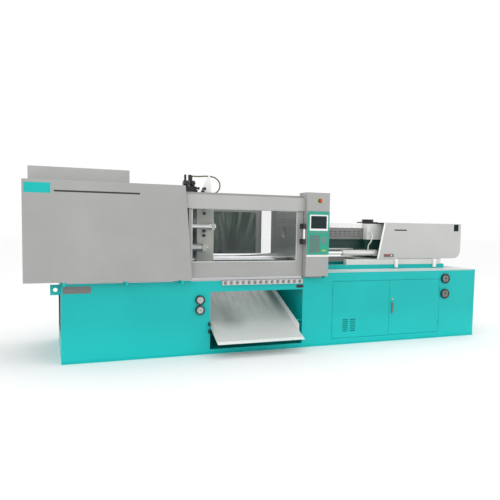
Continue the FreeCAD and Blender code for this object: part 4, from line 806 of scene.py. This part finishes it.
def makeGate(s, name, side):
    mesh = bmesh.new()
    edge, face = s["edge"], gateFront - s["thick"]
    addPlate(mesh, paneX, paneZ, face, s["thick"] - 0.0002, 0.012,
             hole=((paneX[0] + edge, paneX[1] - edge), (paneZ[0] + edge, paneZ[1] - edge)))
    piece(name + "WindowTrim", faceTo(mesh, side), s["bodies"][side], "coverGrey")
    mesh = bmesh.new()
    left, right = paneX[0] + s["inset"], paneX[1] - s["inset"]
    low, high = paneZ[0] + s["inset"], paneZ[1] - s["inset"]
    across, upright = round((right - left) / s["pitch"]), round((high - low) / s["pitch"])
    for index in range(across + 1):
        for z in (low, high):
            addScrew(mesh, left + (right - left) * index / across, face, z, s["screw"])
    for index in range(1, upright):
        for x in (left, right):
            addScrew(mesh, x, face, low + (high - low) * index / upright, s["screw"])
    screwPiece(name + "WindowScrews", faceTo(mesh, side), s["bodies"][side])
    low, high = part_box("front_gate_handle")
    mesh = bmesh.new()
    if side == "front":
        inner, outer, length = s["grip"] + 0.0003, s["grip"] + s["wall"], high.z - low.z
        addTurned(mesh, ((low.x + high.x) / 2, low.y + s["grip"], low.z), "z",
                  [(inner, 0.070), (outer, 0.071), (outer, length - 0.071), (inner, length - 0.070),
                   (inner, 0.070)], 36)
        piece("gateGripSleeve", mesh, s["bodies"][side], "palePlastic")
        return
    x, out = (low.x + high.x) / 2, gateFront - 0.052
    addTurned(mesh, (x, out, low.z), "z",
              [(0, 0), (0.009, 0), (0.012, 0.004), (0.012, 0.269), (0.009, 0.273), (0, 0.273)], 28)
    for z in (low.z + 0.030, low.z + 0.243):
        addTurned(mesh, (x, gateFront - 0.0002, z), "y",
                  [(0, 0), (0.019, 0), (0.019, 0.004), (0.010, 0.010), (0.009, 0.052), (0, 0.052)], 24)
    piece("rearGateHandle", faceTo(mesh, side), s["bodies"][side], "plastic")


for gateName, gateSide in (("gate", "front"), ("rearGate", "rear")):
    makeGate(gateTrim, gateName, gateSide)
print("gate dressed")

# rounded strips and brackets cut from plate, drawn as outlines seen from the operator's side
def addProfile(mesh, outline, front, thick, bevel=0.0008):
    near = [mesh.verts.new((x, front, z)) for x, z in outline]
    far = [mesh.verts.new((x, front + thick, z)) for x, z in outline]
    faces = [mesh.faces.new(near), mesh.faces.new(far[::-1])]
    for i in range(len(outline)):
        j = (i + 1) % len(outline)
        faces.append(mesh.faces.new((near[i], far[i], far[j], near[j])))
    edges = list(dict.fromkeys(edge for face in faces[:2] for edge in face.edges))
    bmesh.ops.bevel(mesh, geom=edges, offset=bevel, segments=2, affect="EDGES", profile=0.5)


# fittings on the moving platen's top and the white bracket that carries its hose
crown = {"bracket": ((-1.300, 2.076), (-1.120, 2.092), (-1.150, 2.335), (-1.172, 2.335)), "bracketY": -0.285,
         "thick": 0.006, "elbows": (-1.345, -1.255), "plugX": (-1.335, -1.245, -1.195),
         "plugY": (-0.50, 0.45)}


def makeCrown(s):
    low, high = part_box("moving_platen")
    top = high.z
    mesh = bmesh.new()
    addProfile(mesh, s["bracket"], s["bracketY"], s["thick"])
    piece("hoseBracket", mesh, "clamp", "white")
    mesh = bmesh.new()
    for x in s["elbows"]:
        addTurned(mesh, (x, s["bracketY"] - 0.035, top + 0.001), "z",
                  [(0.020, 0), (0.020, 0.014), (0.014, 0.016), (0.014, 0.044), (0.021, 0.046),
                   (0.021, 0.062), (0.012, 0.066), (0, 0.066)], 6)
        addTurned(mesh, (x - 0.010, s["bracketY"] - 0.035, top + 0.088), "x",
                  [(0, 0), (0.013, 0), (0.013, 0.030), (0.018, 0.031), (0.018, 0.050), (0.009, 0.052),
                   (0, 0.052)], 20)
    piece("platenElbows", mesh, "clamp", "black")
    mesh = bmesh.new()
    for x in s["plugX"]:
        for y in s["plugY"]:
            addTurned(mesh, (x, y, top + 0.0005), "z",
                      [(0.016, 0), (0.016, 0.012), (0.012, 0.0155), (0.008, 0.0155), (0.0075, 0.006),
                       (0, 0.006)], 24)
    screwPiece("platenPlugs", mesh, "clamp")


makeCrown(crown)

# flat covers on the fixed platen's top
fixed = {"coverX": (0.112, 0.322), "coverY": ((-0.44, -0.10), (0.02, 0.40)), "coverThick": 0.012,
         "knobIn": 0.03}


def makeFixed(s):
    low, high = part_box("stationary_platen")
    mesh = bmesh.new()
    for y0, y1 in s["coverY"]:
        addBlock(mesh, (s["coverX"][0], y0, high.z + 0.0005), (s["coverX"][1], y1, high.z + s["coverThick"]),
                 0.004, 3)
    piece("platenTopCovers", mesh, "frame", "pale")
    mesh = bmesh.new()
    for y0, y1 in s["coverY"]:
        for x in (s["coverX"][0] + s["knobIn"], s["coverX"][1] - s["knobIn"]):
            for y in (y0 + s["knobIn"], y1 - s["knobIn"]):
                addTurned(mesh, (x, y, high.z + s["coverThick"]), "z",
                          [(0.011, 0), (0.011, 0.006), (0.008, 0.010), (0, 0.010)], 20)
    piece("platenTopKnobs", mesh, "frame", "black", smooth=True)


makeFixed(fixed)

# white lid over the barrel cover and the black apron beside the nozzle
barrelTop = {"x": (0.434, 1.411), "halfWide": 0.100, "rise": 0.078, "rim": 0.012, "apronX": (0.446, 0.705),
             "apronY": -0.235, "apronZ": (1.198, 1.484), "ribs": 7}


def makeBarrelTop(s):
    low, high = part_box("barrel_cover")
    base = high.z + 0.0004
    mesh = bmesh.new()
    addBlock(mesh, (s["x"][0], -s["halfWide"], base), (s["x"][1], s["halfWide"], base + s["rise"]), 0.010, 4)
    addBlock(mesh, (s["x"][0] + 0.001, -s["halfWide"] - s["rim"] / 3, base),
             (s["x"][1] - 0.001, s["halfWide"] + s["rim"] / 3, base + s["rim"]), 0.003, 2)
    piece("barrelLid", mesh, "carriage", "white")
    mesh = bmesh.new()
    addPlate(mesh, s["apronX"], s["apronZ"], s["apronY"], 0.004, 0.004)
    pitch = (s["apronX"][1] - s["apronX"][0]) / s["ribs"]
    for index in range(s["ribs"]):
        x = s["apronX"][0] + (index + 0.5) * pitch
        addBlock(mesh, (x - 0.004, s["apronY"] - 0.005, s["apronZ"][0] + 0.006),
                 (x + 0.004, s["apronY"] + 0.001, s["apronZ"][1] - 0.006), 0.002)
    piece("nozzleApron", mesh, "carriage", "plastic")


makeBarrelTop(barrelTop)

# painted highlight: pale strips set along the bed's upper edges, standing in for the light the top edges
# catch
edgeHighlight = {"runs": (((-1.52, 0.03), 0.945), ((-3.06, -1.75), 0.945), ((0.402, 3.06), 1.025)), "high": 0.010,
         "deep": 0.003}


def makeEdgeHighlights(s):
    mesh = bmesh.new()
    for x, z in s["runs"]:
        addPlate(mesh, x, (z - s["high"] / 2 + 0.012, z + s["high"] / 2 + 0.012), wallFront - s["deep"],
                 s["deep"] - 0.0002, 0.002)
    piece("bedEdgeHighlights", mesh, "frame", "aluminium")


makeEdgeHighlights(edgeHighlight)

# hooks beside the tray
hooks = {"x": (-1.290, -1.272), "z": ((0.270, 0.325), (0.365, 0.420)), "out": 0.055, "bar": 0.012}


def makeHooks(s):
    mesh = bmesh.new()
    for low, high in s["z"]:
        addBlock(mesh, (s["x"][0], wallFront - 0.006, low), (s["x"][1], wallFront - 0.0002, high), 0.002)
        addBlock(mesh, (s["x"][0] + 0.003, wallFront - s["out"], low + 0.006),
                 (s["x"][1] - 0.003, wallFront - 0.005, low + 0.006 + s["bar"]), 0.003)
        addBlock(mesh, (s["x"][0] + 0.003, wallFront - s["out"], low + 0.012),
                 (s["x"][1] - 0.003, wallFront - s["out"] + s["bar"], low + 0.048), 0.003)
    piece("trayHooks", mesh, "frame", "plastic")


makeHooks(hooks)

# injection cover: bare dark square, small plate with studs, bright flange along the slanted edge, posts below
cover = {"squareX": (2.940, 3.033), "squareZ": (1.633, 1.742), "badgeX": (1.610, 1.790),
         "badgeZ": (1.222, 1.270), "studs": (("red", (1.655, 1.700)), ("palePlastic", (1.745,))),
         "flange": 0.030, "posts": (1.83, 2.56), "postWide": 0.052, "postZ": (1.062, 1.190),
         "postY": (-0.432, -0.402)}


def makeCover(s):
    platePiece("coverSquare", "carriage", "darkTeal", "teal_paint", s["squareX"],
               (s["squareZ"][0], min(s["squareZ"][1], coverZ[1] - 0.006)), coverFront - 0.0012, 0.001, 0.004)
    platePiece("coverPlate", "carriage", "greyPlastic", "black_plastic", s["badgeX"], s["badgeZ"],
               coverFront - 0.0022, 0.002, 0.004)
    for key, places in s["studs"]:
        mesh = bmesh.new()
        for x in places:
            addTurned(mesh, (x, coverFront - 0.0022, sum(s["badgeZ"]) / 2), "y",
                      [(0.013, 0), (0.013, 0.004), (0.010, 0.0075), (0, 0.009)], 24)
        piece("coverStuds" + key[0].upper() + key[1:], mesh, "carriage", key, smooth=True)
    face = [v.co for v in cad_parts["injection_cover"].data.vertices if v.co.y < coverFront + 0.002]
    foot, head = min(face, key=lambda v: v.x + v.z), min(face, key=lambda v: v.x - v.z)
    mesh = bmesh.new()
    wide, lift = s["flange"], 0.004
    addProfile(mesh, [(foot.x + 0.002, foot.z + lift), (foot.x + wide, foot.z + lift),
                      (head.x + wide, head.z - lift), (head.x + 0.002, head.z - lift)], coverFront - 0.0035,
               0.0033)
    piece("coverFlange", mesh, "carriage", "white")
    mesh = bmesh.new()
    for x in s["posts"]:
        addBlock(mesh, (x - s["postWide"] / 2, s["postY"][0], s["postZ"][0]),
                 (x + s["postWide"] / 2, s["postY"][1], s["postZ"][1]), 0.003)
    piece("coverPosts", mesh, "carriage", "white")


makeCover(cover)

# mark above the door lock
lockMark = {"x": (1.530, 1.550), "z": (0.612, 0.632), "proud": 0.0062, "thick": 0.0015}


platePiece("lockMark", "door_right", "yellow", "panel_plastic", lockMark["x"], lockMark["z"],
           wallFront - lockMark["proud"], lockMark["thick"], 0.002)
print("crown, platen, bed edges and cover dressed")

# bolted service plates, supply box and water ports behind the machine and at its ends
service = {
    "rear": ((-2.84, -2.10), (0.24, 0.80)), "rearMiddle": ((-0.98, -0.24), (0.24, 0.80)),
    "thick": 0.0030, "pitch": 0.19, "inset": 0.018,
    "box": ((2.52, 2.84), (0.42, 0.86)), "boxDeep": 0.088, "lid": 0.006, "glands": (2.60, 2.68, 2.76),
    "ports": (1.98, 2.10, 2.22), "portZ": 0.21,
    "endX": 3.08, "endPlate": ((-0.50, 0.50), (0.18, 0.76)), "endThick": 0.0028,
    "sight": ((-0.62, -0.58), (0.30, 0.62)),
}


def addEdgeScrews(mesh, x, z, face, inset, pitch, radius):
    across, upright = round((x[1] - x[0]) / pitch), round((z[1] - z[0]) / pitch)
    for index in range(across + 1):
        for level in (z[0] + inset, z[1] - inset):
            addScrew(mesh, x[0] + inset + (x[1] - x[0] - 2 * inset) * index / across, face, level, radius)
    for index in range(1, upright):
        for px in (x[0] + inset, x[1] - inset):
            addScrew(mesh, px, face, z[0] + inset + (z[1] - z[0] - 2 * inset) * index / upright, radius)


def makeService(s):
    wall = -span("bed_rear_and_ends", "y")[1]
    plates, screws = bmesh.new(), bmesh.new()
    for key in ("rear", "rearMiddle"):
        x, z = s[key]
        addPlate(plates, x, z, wall - s["thick"], s["thick"] - 0.0002, 0.012)
        addEdgeScrews(screws, x, z, wall - s["thick"], s["inset"], s["pitch"], 0.007)
    piece("rearPlates", faceTo(plates, "rear"), "frame", "teal")
    x, z = s["box"]
    addEdgeScrews(screws, x, z, wall - s["boxDeep"], 0.014, 0.4, 0.006)
    platePiece("supplyBox", "frame", "grey", "grey_paint", x, z, wall - s["boxDeep"] + s["lid"] + 0.002,
               s["boxDeep"] - s["lid"] - 0.0022, 0.010, side="rear")
    platePiece("supplyLid", "frame", "coverGrey", "grey_paint", (x[0] - 0.003, x[1] + 0.003),
               (z[0] - 0.003, z[1] + 0.003), wall - s["boxDeep"], s["lid"], 0.012, side="rear")
    glands = bmesh.new()
    for gx in s["glands"]:
        addTurned(glands, (gx, wall - s["boxDeep"] / 2, z[0] - 0.040), "z",
                  [(0.010, 0), (0.014, 0.002), (0.016, 0.012), (0.016, 0.022), (0.020, 0.023),
                   (0.020, 0.0398), (0.010, 0.0398), (0.010, 0)], 6)
    piece("supplyGlands", faceTo(glands, "rear"), "frame", "plastic")
    ports = bmesh.new()
    for px in s["ports"]:
        addTurned(ports, (px, wall, s["portZ"]), "y",
                  [(0.030, 0.0002), (0.030, 0.006), (0.022, 0.008), (0.022, 0.024), (0.017, 0.026),
                   (0.019, 0.034), (0.016, 0.040), (0.019, 0.048), (0.016, 0.056), (0.011, 0.058),
                   (0.010, 0.030), (0, 0.030)], 28)
    piece("waterPorts", faceTo(ports, "rear"), "frame", "machined")
    screwPiece("rearScrews", faceTo(screws, "rear"))
    y, z = s["endPlate"]
    end = -s["endX"] - s["endThick"]
    platePiece("endPlate", "frame", "teal", "teal_paint", y, z, end, s["endThick"] - 0.0002, 0.012,
               side="right")
    screws = bmesh.new()
    addEdgeScrews(screws, y, z, end, s["inset"], 0.2, 0.0025)
    screwPiece("endScrews", faceTo(screws, "right"))
    y, z = s["sight"]
    platePiece("oilSightFrame", "frame", "plastic", "black_plastic", y, z, -s["endX"] - 0.0042, 0.0040, 0.006,
               side="right", hole=((y[0] + 0.012, y[1] - 0.012), (z[0] + 0.03, z[1] - 0.03)))
    # painted light: the oil sight glass takes the readout's glowing finish, so it glows though it is no lamp
    platePiece("oilSightGlass", "frame", "readout", "clear_pane", (y[0] + 0.0125, y[1] - 0.0125),
               (z[0] + 0.0305, z[1] - 0.0305), -s["endX"] - 0.003, 0.0028, 0.004, side="right")


makeService(service)

# screws that hold the roof sheet and the injection cover
sheets = {"roofX": (-3.44, -1.68), "roofPitch": 0.29, "roofY": 0.795, "roofZ": 2.1502, "screw": 0.007,
          "coverPitch": 0.35, "coverInset": (0.45, 0.10), "rise": 0.030, "coverScrew": 0.0055}


def makeSheetScrews(s):
    roof, side = bmesh.new(), bmesh.new()
    head = [(s["screw"], 0), (s["screw"], 0.002), (s["screw"] * 0.7, 0.004), (0, 0.0042)]
    count = round((s["roofX"][1] - s["roofX"][0]) / s["roofPitch"])
    for index in range(count + 1):
        x = s["roofX"][0] + (s["roofX"][1] - s["roofX"][0]) * index / count
        for y in (-s["roofY"], s["roofY"]):
            addTurned(roof, (x, y, s["roofZ"]), "z", head, 20)
    screwPiece("roofScrews", roof)
    low, high = coverX[0] + s["coverInset"][0], coverX[1] - s["coverInset"][1]
    count = round((high - low) / s["coverPitch"])
    for mirrored in (False, True):
        for index in range(count + 1):
            x = low + (high - low) * index / count
            addScrew(side, x, coverFront, coverZ[0] + s["rise"], s["coverScrew"])
        if not mirrored:
            faceTo(side, "rear")
    screwPiece("coverScrews", side, "carriage")


makeSheetScrews(sheets)

# hose unions on the moving platen's operator side
unions = {"x": -1.290, "z": (1.10, 1.17, 1.53, 1.59, 1.82, 1.89), "side": -0.4905}


def makeUnions(s):
    mesh = bmesh.new()
    for z in s["z"]:
        addTurned(mesh, (s["x"], s["side"], z), "y",
                  [(0.021, 0), (0.021, 0.012), (0.014, 0.014), (0.014, 0.030), (0.019, 0.031),
                   (0.019, 0.048), (0.010, 0.051), (0, 0.051)], 6)
    piece("platenUnions", mesh, "clamp", "black")


makeUnions(unions)
print("rear, ends and roof dressed")
